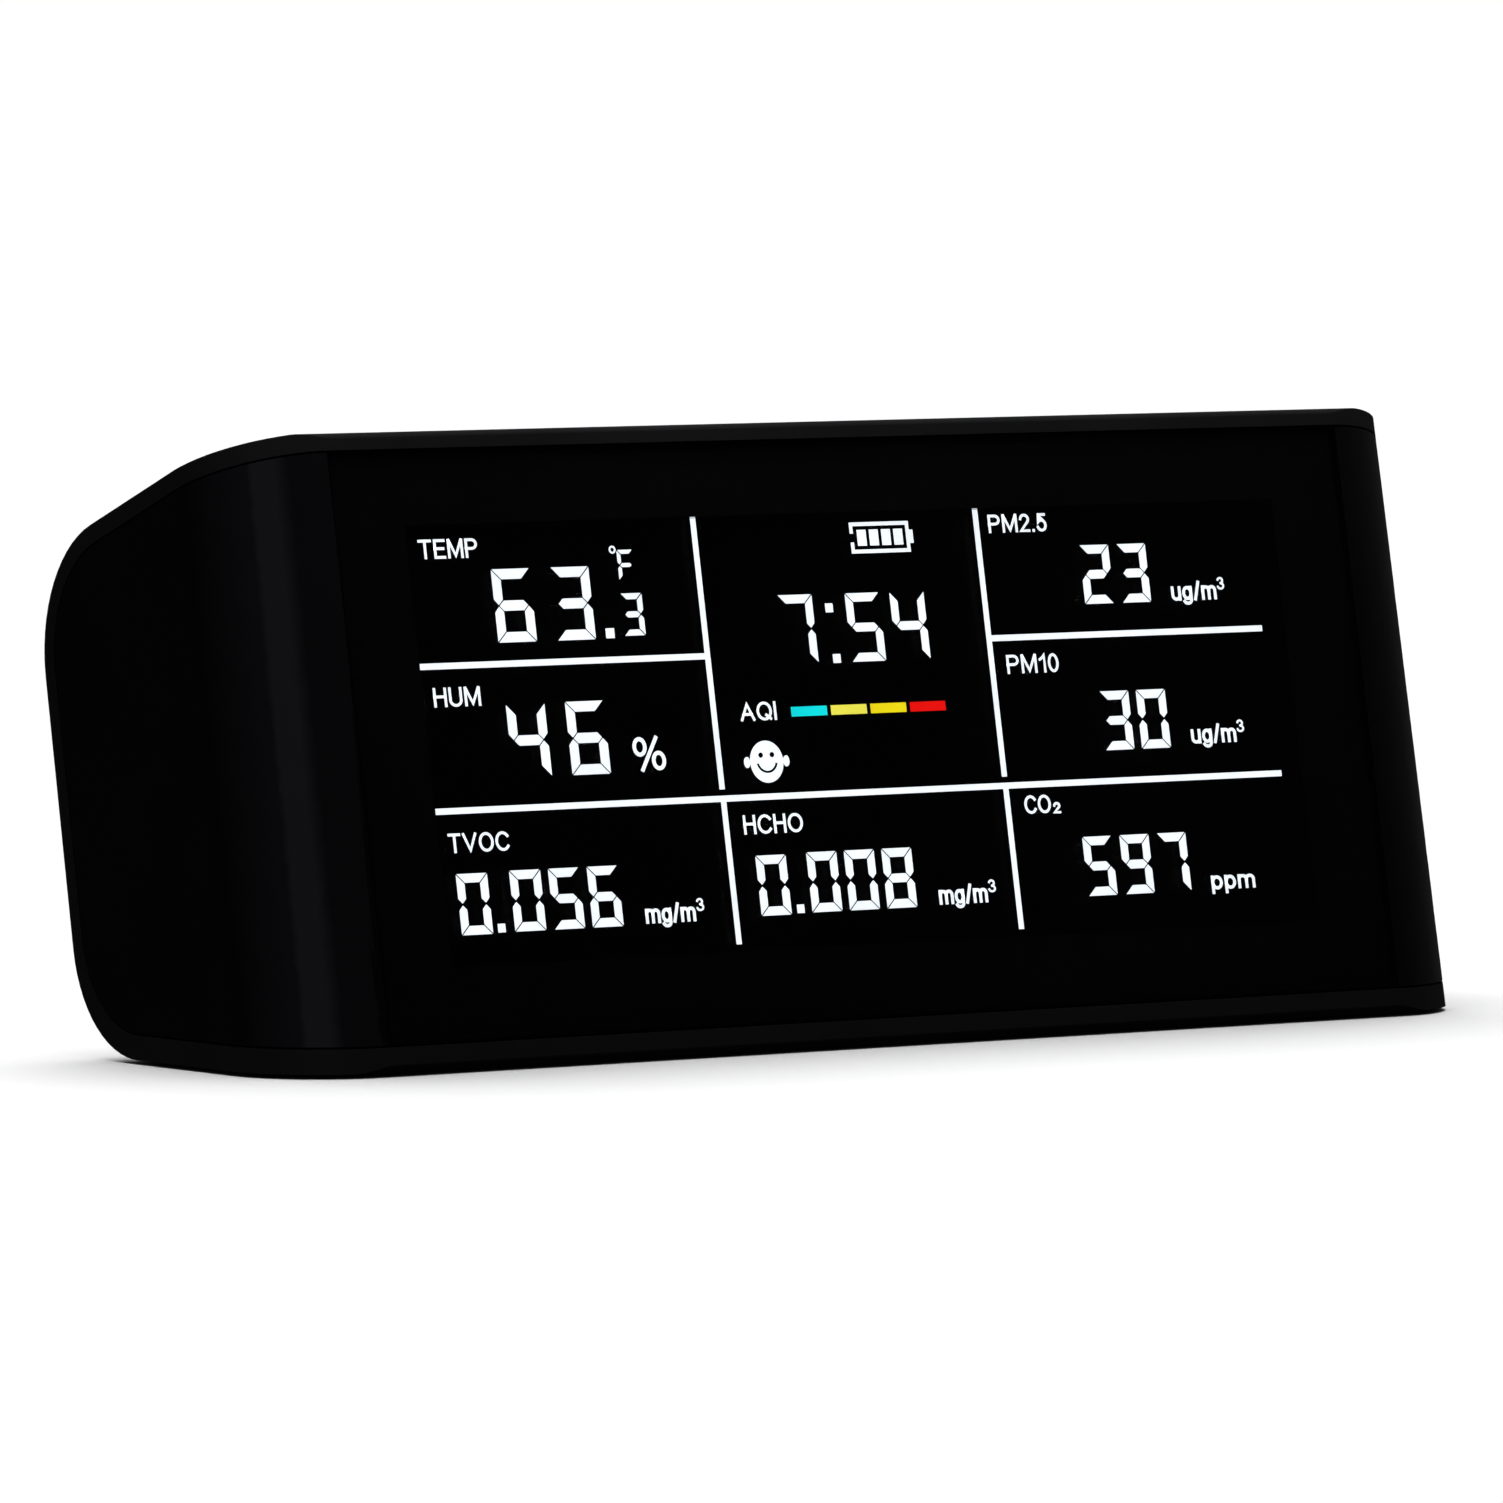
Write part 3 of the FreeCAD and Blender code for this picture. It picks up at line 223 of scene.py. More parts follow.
def glow(name, colour, strength):
    """A lit segment, slightly uneven where the light guide behind it is."""
    material, nodes, links, shader, place = new_material(name)
    cloud = noise(nodes, links, place, 180.0, detail=1.0)
    uneven = remap(nodes, links, cloud, 0.93 * strength, 1.04 * strength)
    shader.inputs["Base Color"].default_value = (*colour, 1.0)
    shader.inputs["Emission Color"].default_value = (*colour, 1.0)
    links.new(uneven, shader.inputs["Emission Strength"])
    links.new(remap(nodes, links, cloud, 0.4, 0.5), shader.inputs["Roughness"])
    return material


# Name, darker tone, lighter tone, roughness, grain scale, grain height, then specular and coat
PLASTICS = (
    ("shell_black", (0.0115, 0.0115, 0.0122), (0.015, 0.015, 0.016), (0.42, 0.52), 2600.0, 0.00005),
    (
        "gloss_black", (0.0022, 0.0022, 0.0026), (0.0034, 0.0034, 0.004), (0.05, 0.085),
        500.0, 0.000004, 0.5, 0.3,
    ),
    ("tape", (0.01, 0.01, 0.01), (0.02, 0.02, 0.02), (0.7, 0.8), 900.0, 0.00003),
    ("lcd_glass", (0.0003, 0.0003, 0.0004), (0.0006, 0.0006, 0.0008), (0.3, 0.36), 700.0, 0.000002, 0.05),
    ("light_guide", (0.72, 0.74, 0.76), (0.82, 0.84, 0.86), (0.3, 0.4), 800.0, 0.00001),
    ("tray_plastic", (0.03, 0.03, 0.032), (0.045, 0.045, 0.048), (0.5, 0.6), 1500.0, 0.00004),
    ("chip", (0.012, 0.012, 0.013), (0.022, 0.022, 0.023), (0.55, 0.65), 3000.0, 0.00002),
    ("socket_plastic", (0.62, 0.59, 0.48), (0.72, 0.69, 0.58), (0.4, 0.5), 1400.0, 0.00002),
    ("wire", (0.35, 0.01, 0.01), (0.5, 0.02, 0.015), (0.35, 0.45), 900.0, 0.00002),
    ("gas_cell", (0.07, 0.07, 0.075), (0.10, 0.10, 0.11), (0.45, 0.55), 1800.0, 0.00003),
    ("white_plastic", (0.70, 0.70, 0.68), (0.80, 0.80, 0.78), (0.4, 0.5), 1600.0, 0.00002),
    ("buzzer_plastic", (0.012, 0.012, 0.012), (0.02, 0.02, 0.02), (0.3, 0.4), 1400.0, 0.00002),
    ("fan_plastic", (0.02, 0.02, 0.022), (0.035, 0.035, 0.038), (0.4, 0.5), 1500.0, 0.00002),
    ("screw_black", (0.012, 0.012, 0.013), (0.03, 0.03, 0.032), (0.28, 0.4), 1200.0, 0.00002, 0.8),
    ("rubber", (0.012, 0.012, 0.012), (0.022, 0.022, 0.022), (0.75, 0.88), 2200.0, 0.00006, 0.3),
    ("button_black", (0.014, 0.014, 0.015), (0.022, 0.022, 0.024), (0.32, 0.42), 2400.0, 0.00003),
    ("mask_ink", (0.0056, 0.0056, 0.0067), (0.0078, 0.0078, 0.0091), (0.6, 0.7), 1500.0, 0.000003, 0.05),
    ("icon_ink", (0.42, 0.42, 0.43), (0.52, 0.52, 0.53), (0.5, 0.6), 1800.0, 0.00001),
)
# Name, darker tone, lighter tone, roughness, stretch of its drawn lines, then their scale
METALS = (
    ("ribbon", (0.42, 0.22, 0.06), (0.55, 0.31, 0.10), (0.3, 0.42), (1.0, 60.0, 60.0)),
    ("battery_wrap", (0.50, 0.51, 0.53), (0.64, 0.65, 0.67), (0.28, 0.4), (1.0, 1.0, 1.0), 400.0),
    ("co2_can", (0.72, 0.50, 0.20), (0.83, 0.63, 0.30), (0.22, 0.34), (1.0, 30.0, 1.0)),
    ("steel", (0.50, 0.50, 0.51), (0.62, 0.62, 0.63), (0.22, 0.36), (40.0, 1.0, 1.0)),
    ("sensor_metal", (0.10, 0.19, 0.30), (0.16, 0.27, 0.40), (0.3, 0.42), (1.0, 1.0, 40.0)),
    ("brass", (0.60, 0.42, 0.16), (0.72, 0.53, 0.24), (0.22, 0.34), (1.0, 40.0, 40.0)),
    ("switch_metal", (0.52, 0.52, 0.53), (0.66, 0.66, 0.67), (0.25, 0.36), (30.0, 1.0, 1.0)),
)
# Name, colour between the threads (darker there as painted shade), colour of the threads, pitch in metres
CLOTHS = (
    ("foam", (0.008, 0.008, 0.008), (0.05, 0.05, 0.05), 0.0006),
    ("dust_cloth", (0.004, 0.004, 0.004), (0.03, 0.03, 0.032), 0.0005),
)
# Name, colour, strength
LIT_COLOURS = (
    ("white", (0.93, 0.98, 1.0), 1.34),
    ("cyan", (0.005, 0.82, 0.82), 1.1),
    ("yellow", (0.95, 0.88, 0.09), 1.1),
    ("amber", (0.96, 0.78, 0.008), 1.1),
    ("red", (0.87, 0.005, 0.003), 1.1),
)
MATERIALS = {row[0]: plastic(*row) for row in PLASTICS}
MATERIALS.update((row[0], metal(*row)) for row in METALS)
MATERIALS.update((row[0], woven(*row)) for row in CLOTHS)
MATERIALS["board"] = circuit_board("board")
MATERIALS["lens_clear"] = smoked_glass("lens_clear", (0.80, 0.81, 0.83), 0.012, 0.02)
GLOWS = {name: glow(f"glow_{name}", colour, strength) for name, colour, strength in LIT_COLOURS}


def dress_frame():
    """Gives every CAD node its material."""
    for entry in frame["record"]["subparts"]:
        node = NODES[entry["node"]]
        node.data.materials.clear()
        node.data.materials.append(MATERIALS[entry["material_slot"]])


EDGE_ROUNDING = 0.18
SHARP_ANGLE = math.radians(35.0)


def soften_edges(name):
    """Rounds a node's sharp edges, as a modifier on the CAD mesh."""
    rounding = NODES[name].modifiers.new("round_edges", "BEVEL")
    rounding.width = EDGE_ROUNDING * MM
    rounding.segments = 3
    rounding.limit_method = "ANGLE"
    rounding.angle_limit = SHARP_ANGLE
    rounding.harden_normals = True
    rounding.use_clamp_overlap = True


# ---------------------------------------------------------------- flat shapes

def prism(shape, outline, depth):
    """Adds an outline of (x, z) points in millimetres, given thickness between two depths."""
    front = [shape.verts.new((x, depth[0], z)) for x, z in outline]
    rear = [shape.verts.new((x, depth[1], z)) for x, z in outline]
    shape.faces.new(front)
    shape.faces.new(list(reversed(rear)))
    for i in range(len(outline)):
        j = (i + 1) % len(outline)
        shape.faces.new((front[j], front[i], rear[i], rear[j]))


def finish_piece(shape, name, place, material, body):
    """Turns the collected shape into an object that rides on a body."""
    bmesh.ops.recalc_face_normals(shape, faces=shape.faces)
    mesh = bpy.data.meshes.new(name)
    shape.to_mesh(mesh)
    shape.free()
    mesh.transform(place @ Matrix.Scale(MM, 4))
    mesh.materials.append(material)
    piece = bpy.data.objects.new(name, mesh)
    bpy.context.scene.collection.objects.link(piece)
    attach(piece, body)


def bar(x, z):
    """An upright rectangle between two x and two z values."""
    return [(x[0], z[0]), (x[1], z[0]), (x[1], z[1]), (x[0], z[1])]


def sweep(x, z, rx, rz, start=0.0, end=360.0, count=16):
    """Points along an oval arc, from one angle in degrees to another."""
    turns = [math.radians(start + (end - start) * i / count) for i in range(count + 1)]
    return [(x + rx * math.cos(t), z + rz * math.sin(t)) for t in turns]


def disc(x, z, rx, rz, count=40):
    """A filled oval."""
    return sweep(x, z, rx, rz, count=count)[:-1]


def arc_band(x, z, radius, width, start, end, count=14):
    """A curved stroke between two angles in degrees, as one outline."""
    outer = radius + width / 2
    inner = radius - width / 2
    return sweep(x, z, outer, outer, start, end, count) + sweep(x, z, inner, inner, start, end, count)[::-1]


# ---------------------------------------------------------------- display

# The lit shapes are a little narrower and lower than drawn, and sit in front of the cell.
GLOW_DEPTH = (CELL_FRONT - GLOW_THICK, CELL_FRONT + GLOW_THICK / 5)
DISPLAY_SHIFT = 0.12
DISPLAY_SCALE = (0.992, 1.0, 0.996, 1.0)
DISPLAY_PLACE = Matrix.Translation((DISPLAY_SHIFT * MM, 0, DISPLAY_Z * MM))
DISPLAY = FACE @ DISPLAY_PLACE @ Matrix.Diagonal(DISPLAY_SCALE)
SEGMENTS = {
    "0": "abcdef", "1": "bc", "2": "abged", "3": "abgcd", "4": "fgbc", "5": "afgcd",
    "6": "afgedc", "7": "abc", "8": "abcdefg", "9": "abcdfg", "F": "afge",
}
# The slit between two bars, and how far an upright bar's outer side stops from the middle,
# as a part of the stroke
SEGMENT_GAP = 0.11
WAIST = 0.55


def segment(letter, x, z, wide, tall, stroke):
    """One mitred bar of a seven-segment digit whose lower left corner is at (x, z)."""
    g, t, w, h, m = SEGMENT_GAP, stroke, wide, tall, tall / 2.0
    n = t * WAIST
    shapes = {
        "a": [(g, h), (w - g, h), (w - t - g, h - t), (t + g, h - t)],
        "d": [(g, 0), (t + g, t), (w - t - g, t), (w - g, 0)],
        "b": [(w, h - g), (w, m + n + g), (w - t / 2, m + g), (w - t, m + t / 2 + g), (w - t, h - t - g)],
        "c": [(w, g), (w - t, t + g), (w - t, m - t / 2 - g), (w - t / 2, m - g), (w, m - n - g)],
        "f": [(0, h - g), (t, h - t - g), (t, m + t / 2 + g), (t / 2, m + g), (0, m + n + g)],
        "e": [(0, g), (0, m - n - g), (t / 2, m - g), (t, m - t / 2 - g), (t, t + g)],
        "g": [
            (t / 2 + g, m), (t + g, m + t / 2), (w - t - g, m + t / 2),
            (w - t / 2 - g, m), (w - t - g, m - t / 2), (t + g, m - t / 2),
        ],
    }
    return [(x + px, z + pz) for px, pz in shapes[letter]]


def digit(shape, character, x, z, wide, tall, stroke):
    """The lit bars of one seven-segment character."""
    for letter in SEGMENTS[character]:
        prism(shape, segment(letter, x, z, wide, tall, stroke), GLOW_DEPTH)


# Plain letters as centre lines: a width and strokes, with the capital height as 1.
GLYPHS = {
    "T": (0.66, [[(0, 1), (0.66, 1)], [(0.33, 1), (0.33, 0)]]),
    "E": (0.56, [[(0.56, 1), (0, 1), (0, 0), (0.56, 0)], [(0, 0.52), (0.5, 0.52)]]),
    "M": (0.8, [[(0, 0), (0, 1)], [(0.03, 1), (0.4, 0.08), (0.77, 1)], [(0.8, 0), (0.8, 1)]]),
    "P": (0.6, [
        [(0, 0), (0, 1), (0.34, 1)] + sweep(0.34, 0.74, 0.26, 0.26, 80, -80, 8) + [(0.34, 0.48), (0, 0.48)],
    ]),
    "H": (0.63, [[(0, 0), (0, 1)], [(0.63, 0), (0.63, 1)], [(0, 0.54), (0.63, 0.54)]]),
    "U": (0.63, [[(0, 1)] + sweep(0.315, 0.31, 0.315, 0.31, 180, 360) + [(0.63, 1)]]),
    "A": (0.76, [[(0, 0), (0.38, 0.95), (0.76, 0)], [(0.13, 0.33), (0.63, 0.33)]]),
    "Q": (0.81, [sweep(0.405, 0.5, 0.405, 0.5, count=28), [(0.52, 0.25), (0.78, 0.02)]]),
    "I": (0.0, [[(0, 0), (0, 1)]]),
    "V": (0.78, [[(0, 1), (0.39, 0.05), (0.78, 1)]]),
    "O": (0.81, [sweep(0.405, 0.5, 0.405, 0.5, count=28)]),
    "C": (0.75, [sweep(0.405, 0.5, 0.405, 0.5, 38, 322, 24)]),
    "0": (0.5, [sweep(0.25, 0.5, 0.25, 0.5, count=24)]),
    "1": (0.26, [[(0, 0.74), (0.15, 0.84), (0.26, 1), (0.26, 0)]]),
    "2": (0.5, [sweep(0.25, 0.73, 0.24, 0.27, 172, -38, 14) + [(0, 0), (0.5, 0)]]),
    "3": (0.5, [sweep(0.24, 0.76, 0.21, 0.24, 160, -80, 12), sweep(0.25, 0.26, 0.25, 0.26, 80, -165, 14)]),
    "5": (0.5, [[(0.46, 1), (0.1, 1), (0.04, 0.5)] + sweep(0.25, 0.32, 0.25, 0.32, 130, -160, 16)]),
    ".": (0.0, [[(0, -0.01), (0, 0.01)]]),
    "m": (0.84, [
        [(0, 0), (0, 0.72)], sweep(0.21, 0.5, 0.21, 0.22, 180, 0, 10) + [(0.42, 0)],
        sweep(0.63, 0.5, 0.21, 0.22, 180, 0, 10) + [(0.84, 0)],
    ]),
    "u": (0.48, [[(0, 0.72)] + sweep(0.24, 0.24, 0.24, 0.24, 180, 360, 10), [(0.48, 0), (0.48, 0.72)]]),
    "g": (0.5, [
        sweep(0.25, 0.37, 0.25, 0.35, count=20),
        [(0.5, 0.72)] + sweep(0.25, -0.06, 0.25, 0.22, 0, -155, 12),
    ]),
    "p": (0.5, [[(0, 0.72), (0, -0.28)], sweep(0.25, 0.36, 0.25, 0.36, count=20)]),
    "/": (0.28, [[(0, -0.02), (0.28, 1.02)]]),
    "%": (1.08, [
        sweep(0.2, 0.74, 0.2, 0.26, count=20), sweep(0.88, 0.26, 0.2, 0.26, count=20),
        [(0.24, -0.02), (0.84, 1.02)],
    ]),
}
# The space between letters, and how far a sharp bend may reach in half strokes
LETTER_GAP = 0.28
SHARPEST_MITRE = 2.0


def ribbon(points, width):
    """The outline of a stroke of even width along a line, with mitred bends and square ends."""
    line = [Vector(point) for point in points]
    closed = (line[0] - line[-1]).length < 0.001
    left, right = [], []
    for i, point in enumerate(line):
        first, last = i == 0, i == len(line) - 1
        before = point - line[i - 1]
        if first:
            before = line[-1] - line[-2] if closed else line[1] - line[0]
        after = before if last else line[i + 1] - point
        if last and closed:
            after = line[1] - line[0]
        before, after = before.normalized(), after.normalized()
        side = Vector((-before.y - after.y, before.x + after.x)).normalized()
        reach = width / 2 / max(side.dot(Vector((-after.y, after.x))), 1 / SHARPEST_MITRE)
        if not closed and (first or last):
            point = point + after * (-width / 2 if first else width / 2)
        left.append(tuple(point + side * reach))
        right.append(tuple(point - side * reach))
    return left + right[::-1]


def lettering(shape, words, x, z, height, width, stroke):
    """Adds plain lettering of one stroke width, fitted to a box whose lower left corner is (x, z)."""
    lines, start = [], 0.0
    for character in words:
        wide, strokes = GLYPHS[character]
        lines += [[(start + px, pz) for px, pz in points] for points in strokes]
        start += wide + LETTER_GAP
    every = [point for points in lines for point in points]
    low_x, low_z = (min(point[i] for point in every) for i in range(2))
    high_x, high_z = (max(point[i] for point in every) for i in range(2))
    across = (width - stroke) / (high_x - low_x)
    up = (height - stroke) / (high_z - low_z)
    left, foot = x + stroke / 2, z + stroke / 2
    for points in lines:
        placed = [(left + (px - low_x) * across, foot + (pz - low_z) * up) for px, pz in points]
        prism(shape, ribbon(placed, stroke), GLOW_DEPTH)


# The lines between the readings, then each digit size as width, height and stroke
LINE = 0.68
LINE_BREAK = 0.7
COLUMN_LEFT, COLUMN_RIGHT = -19.8, 18.3
ROW_LOW, ROW_LEFT, ROW_RIGHT = -7.0, 8.9, 9.7
EDGE_LEFT, EDGE_RIGHT, EDGE_TOP, EDGE_LOW = -58.5, 56.75, 24.3, -23.2
BIG = (5.0, 8.1, 1.12)
MEDIUM = (4.0, 6.7, 0.98)
SMALL = (2.8, 4.7, 0.66)
TINY = (2.1, 3.4, 0.44)
CLOCK = (4.6, 7.7, 0.96)


def display_lines(shape):
    """The lines between the readings."""
    half = LINE / 2
    prism(shape, bar((EDGE_LEFT, EDGE_RIGHT), (ROW_LOW - half, ROW_LOW + half)), GLOW_DEPTH)
    prism(shape, bar((EDGE_LEFT, COLUMN_LEFT - half), (ROW_LEFT - half, ROW_LEFT + half)), GLOW_DEPTH)
    right_span = (COLUMN_RIGHT + half, EDGE_RIGHT - 0.4)
    prism(shape, bar(right_span, (ROW_RIGHT - half, ROW_RIGHT + half)), GLOW_DEPTH)
    for x in (COLUMN_LEFT, COLUMN_RIGHT):
        upper = (ROW_LOW + half + LINE_BREAK, EDGE_TOP)
        lower = (EDGE_LOW, ROW_LOW - half)
        for span in (upper, lower):
            prism(shape, bar((x - half, x + half), span), GLOW_DEPTH)


def display_digits(shape):
    """Every reading: (characters, left edge, lower edge, digit size, step to the next digit)."""
    readings = (
        ("6", -46.95, 11.25, BIG, 0.0), ("3", -39.25, 11.25, BIG, 0.0), ("3", -30.45, 11.5, SMALL, 0.0),
        ("F", -30.3, 17.65, TINY, 0.0), ("46", -46.9, -3.65, BIG, 7.7), ("7", -9.7, 7.7, CLOCK, 0.0),
        ("54", -0.6, 7.65, CLOCK, 6.05), ("23", 32.1, 13.2, MEDIUM, 5.15), ("30", 32.6, -3.5, MEDIUM, 5.1),
        ("0", -55.7, -20.6, MEDIUM, 0.0), ("056", -48.8, -20.5, MEDIUM, 5.05),
        ("0", -16.4, -20.2, MEDIUM, 0.0), ("008", -9.6, -20.1, MEDIUM, 5.05),
        ("597", 28.0, -19.9, MEDIUM, 5.15),
    )
    for characters, x, z, size, step in readings:
        for i, character in enumerate(characters):
            digit(shape, character, x + i * step, z, *size)
    dots = (
        (-32.85, 11.3, 1.1), (-3.4, 13.3, 1.0), (-3.1, 7.6, 1.0),
        (-51.0, -20.5, 0.95), (-11.6, -20.1, 0.95),
    )
    for x, z, side in dots:
        prism(shape, bar((x, x + side), (z, z + side)), GLOW_DEPTH)


# Strokes of the labels, the units and the raised numbers
THIN, BOLD, FINE = 0.3, 0.36, 0.23


def display_words(shape):
    """Plain labels and units: (words, left edge, lower edge, height, width, stroke)."""
    labels = (
        ("TEMP", -56.0, 20.7, 2.15, 7.6, THIN), ("HUM", -56.1, 4.4, 2.15, 6.05, THIN),
        ("AQI", -16.3, 1.5, 2.1, 4.8, THIN), ("PM2.5", 19.95, 21.6, 2.1, 8.0, THIN),
        ("PM10", 20.35, 5.6, 2.15, 7.1, THIN), ("TVOC", -56.2, -11.6, 2.15, 7.8, THIN),
        ("HCHO", -17.5, -11.1, 2.15, 7.9, THIN), ("CO", 20.6, -10.3, 2.1, 3.6, THIN),
        ("2", 24.5, -10.4, 1.3, 1.0, 0.28), ("%", -31.0, -3.6, 3.9, 4.2, 0.44),
        ("mg/m", -31.7, -20.9, 2.7, 6.6, BOLD), ("mg/m", 7.6, -20.5, 2.7, 6.6, BOLD),
        ("ug/m", 44.2, 12.7, 2.7, 6.3, BOLD), ("ug/m", 44.7, -3.7, 2.7, 6.3, BOLD),
        ("ppm", 45.2, -20.4, 2.1, 6.1, BOLD), ("3", -24.9, -19.3, 1.45, 1.0, FINE),
        ("3", 14.4, -18.9, 1.45, 1.0, FINE), ("3", 50.7, 14.3, 1.45, 1.0, FINE),
        ("3", 51.2, -2.1, 1.45, 1.0, FINE),
    )
    for label in labels:
        lettering(shape, *label)
    degree_sign = arc_band(-30.85, 21.1, 0.34, 0.2, 0.0, 359.0, 20)
    prism(shape, degree_sign, GLOW_DEPTH)


CELL_WIDE, CELL_STEP, CELL_START, CELL_MARGIN = 1.2, 1.65, 0.95, 0.85
TERMINAL_LONG, TERMINAL_MARGIN, NOTCH = 0.5, 1.0, 1.25


def battery_gauge(shape):
    """An outline notched at its left, with a terminal at its right and four full cells."""
    left, right, low, high, line = 1.0, 9.0, 19.8, 23.3, 0.42
    prism(shape, bar((left, right), (high - line, high)), GLOW_DEPTH)
    prism(shape, bar((left, right), (low, low + line)), GLOW_DEPTH)
    prism(shape, bar((right - line, right), (low + line, high - line)), GLOW_DEPTH)
    for span in ((low + line, low + NOTCH), (high - NOTCH, high - line)):
        prism(shape, bar((left, left + line), span), GLOW_DEPTH)
    terminal = bar((right, right + TERMINAL_LONG), (low + TERMINAL_MARGIN, high - TERMINAL_MARGIN))
    prism(shape, terminal, GLOW_DEPTH)
    for i in range(4):
        x = left + CELL_START + i * CELL_STEP
        prism(shape, bar((x, x + CELL_WIDE), (low + CELL_MARGIN, high - CELL_MARGIN)), GLOW_DEPTH)


FACE_X, FACE_Z = -13.5, -3.1
HEAD, EAR, EAR_OUT = (2.2, 2.35), (0.4, 0.62), 2.62
EYE, EYE_OUT, EYE_UP = (0.3, 0.3), 0.75, 0.75
SMILE, SMILE_STROKE, SMILE_UP = 1.3, 0.25, 0.15


def gauge_face(shape):
    """The lit round head of the smiling icon, with small ears."""
    prism(shape, disc(FACE_X, FACE_Z, *HEAD), GLOW_DEPTH)
    for side in (-EAR_OUT, EAR_OUT):
        prism(shape, disc(FACE_X + side, FACE_Z, *EAR, 24), GLOW_DEPTH)


def gauge_features():
    """The icon's eyes and smile."""
    shape = bmesh.new()
    depth = (GLOW_DEPTH[0] - GLOW_THICK, GLOW_DEPTH[0] + GLOW_THICK / 5)
    for side in (-EYE_OUT, EYE_OUT):
        prism(shape, disc(FACE_X + side, FACE_Z + EYE_UP, *EYE, 16), depth)
    prism(shape, arc_band(FACE_X, FACE_Z + SMILE_UP, SMILE, SMILE_STROKE, 195, 345), depth)
    finish_piece(shape, "gauge_face_marks", DISPLAY, MATERIALS["mask_ink"], "case")


SCALE_LEFT, SCALE_STEP, BLOCK_LONG, BLOCK_TALL = -9.5, 5.35, 4.8, (1.8, 2.88)


def colour_bars():
    """The four lit blocks of the air quality scale."""
    for i, name in enumerate(("cyan", "yellow", "amber", "red")):
        shape = bmesh.new()
        x = SCALE_LEFT + i * SCALE_STEP
        prism(shape, bar((x, x + BLOCK_LONG), BLOCK_TALL), GLOW_DEPTH)
        finish_piece(shape, f"scale_{name}", DISPLAY, GLOWS[name], "case")


def display_graphics():
    """Everything lit on the display."""
    shape = bmesh.new()
    display_lines(shape)
    display_digits(shape)
    battery_gauge(shape)
    gauge_face(shape)
    finish_piece(shape, "lit_segments", DISPLAY, GLOWS["white"], "case")
    words = bmesh.new()
    display_words(words)
    finish_piece(words, "lit_labels", DISPLAY, GLOWS["white"], "case")
    gauge_features()
    colour_bars()


def lens_mask():
    """The black print on the back of the lens, open over the display."""
    low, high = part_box("lens")
    shape = bmesh.new()
    depth = (LENS_BACK - 0.1, LENS_BACK - 0.03)
    inner_x = WINDOW[0] / 2
    inner_z = (DISPLAY_Z - WINDOW[1] / 2, DISPLAY_Z + WINDOW[1] / 2)
    outer_x = LENS_WIDTH / 2 - 0.1
    outer_z = (3.4, (high.z - low.z) / MM / math.cos(FACE_LEAN) + 2.6)
    prism(shape, bar((-outer_x, -inner_x), outer_z), depth)
    prism(shape, bar((inner_x, outer_x), outer_z), depth)
    prism(shape, bar((-inner_x, inner_x), (outer_z[0], inner_z[0])), depth)
    prism(shape, bar((-inner_x, inner_x), (inner_z[1], outer_z[1])), depth)
    finish_piece(shape, "lens_mask", FACE, MATERIALS["mask_ink"], "case")


# ---------------------------------------------------------------- back

BUTTONS = {"down_button": 20.0, "up_button": 29.5, "mode_button": 39.0, "power_button": 48.5}
BUTTON_Z = 33.0
BUTTON_TOP = 0.8
SIGN_HALF = 1.1
SIGN_STROKE = 0.32


def button_icons():
    """A pale printed sign on each button: down, up, three bars for mode and a power mark."""
    depth = (BUTTON_TOP - 0.03, BUTTON_TOP + 0.03)
    for name, x in BUTTONS.items():
        shape = bmesh.new()
        left, right = x - SIGN_HALF, x + SIGN_HALF
        if name == "down_button":
            prism(shape, [(left, BUTTON_Z + 0.6), (right, BUTTON_Z + 0.6), (x, BUTTON_Z - 0.9)], depth)
        elif name == "up_button":
            prism(shape, [(left, BUTTON_Z - 0.6), (right, BUTTON_Z - 0.6), (x, BUTTON_Z + 0.9)], depth)
        elif name == "mode_button":
            for step in (-0.8, 0.0, 0.8):
                middle = BUTTON_Z + step
                span = (middle - SIGN_STROKE / 2, middle + SIGN_STROKE / 2)
                prism(shape, bar((left, right), span), depth)
        else:
            prism(shape, arc_band(x, BUTTON_Z, SIGN_HALF, SIGN_STROKE, 120, 420, 28), depth)
            upright = (x - SIGN_STROKE / 2, x + SIGN_STROKE / 2)
            prism(shape, bar(upright, (BUTTON_Z + 0.2, BUTTON_Z + 1.45)), depth)
        icon = name.replace("_button", "_icon")
        finish_piece(shape, icon, BACK, MATERIALS["icon_ink"], name)


# ---------------------------------------------------------------- studio

def stage_material(name, colour):
    """A matte, very slightly clouded surface."""
    material, nodes, links, shader, place = new_material(name)
    cloud = remap(nodes, links, noise(nodes, links, place, 3.0), 0.0, 1.0)
    darker = tuple(channel * 0.985 for channel in colour)
    links.new(blend_colours(nodes, links, cloud, darker, colour), shader.inputs["Base Color"])
    links.new(remap(nodes, links, cloud, 0.85, 0.9), shader.inputs["Roughness"])
    shader.inputs["Specular IOR Level"].default_value = 0.0
    return material


def floor():
    """A white floor that the object doesn't pick up light or reflections from."""
    bpy.ops.mesh.primitive_circle_add(vertices=96, radius=12.0, fill_type="NGON", location=(0, 0, 0))
    ground = bpy.context.object
    ground.name = "studio_floor"
    ground.data.materials.append(stage_material("studio_floor", (0.90, 0.90, 0.905)))
    ground.visible_glossy = False
    ground.visible_diffuse = False
    ground.visible_transmission = False


def soft_light(name, place, target, size, power):
    """A rectangular light aimed at a point."""
    data = bpy.data.lights.new(name, "AREA")
    data.shape = "RECTANGLE"
    data.size, data.size_y = size
    data.energy = power
    light = bpy.data.objects.new(name, data)
    light.location = place
    aim = Vector(target) - Vector(place)
    light.rotation_euler = aim.to_track_quat("-Z", "Y").to_euler()
    bpy.context.scene.collection.objects.link(light)
    return light


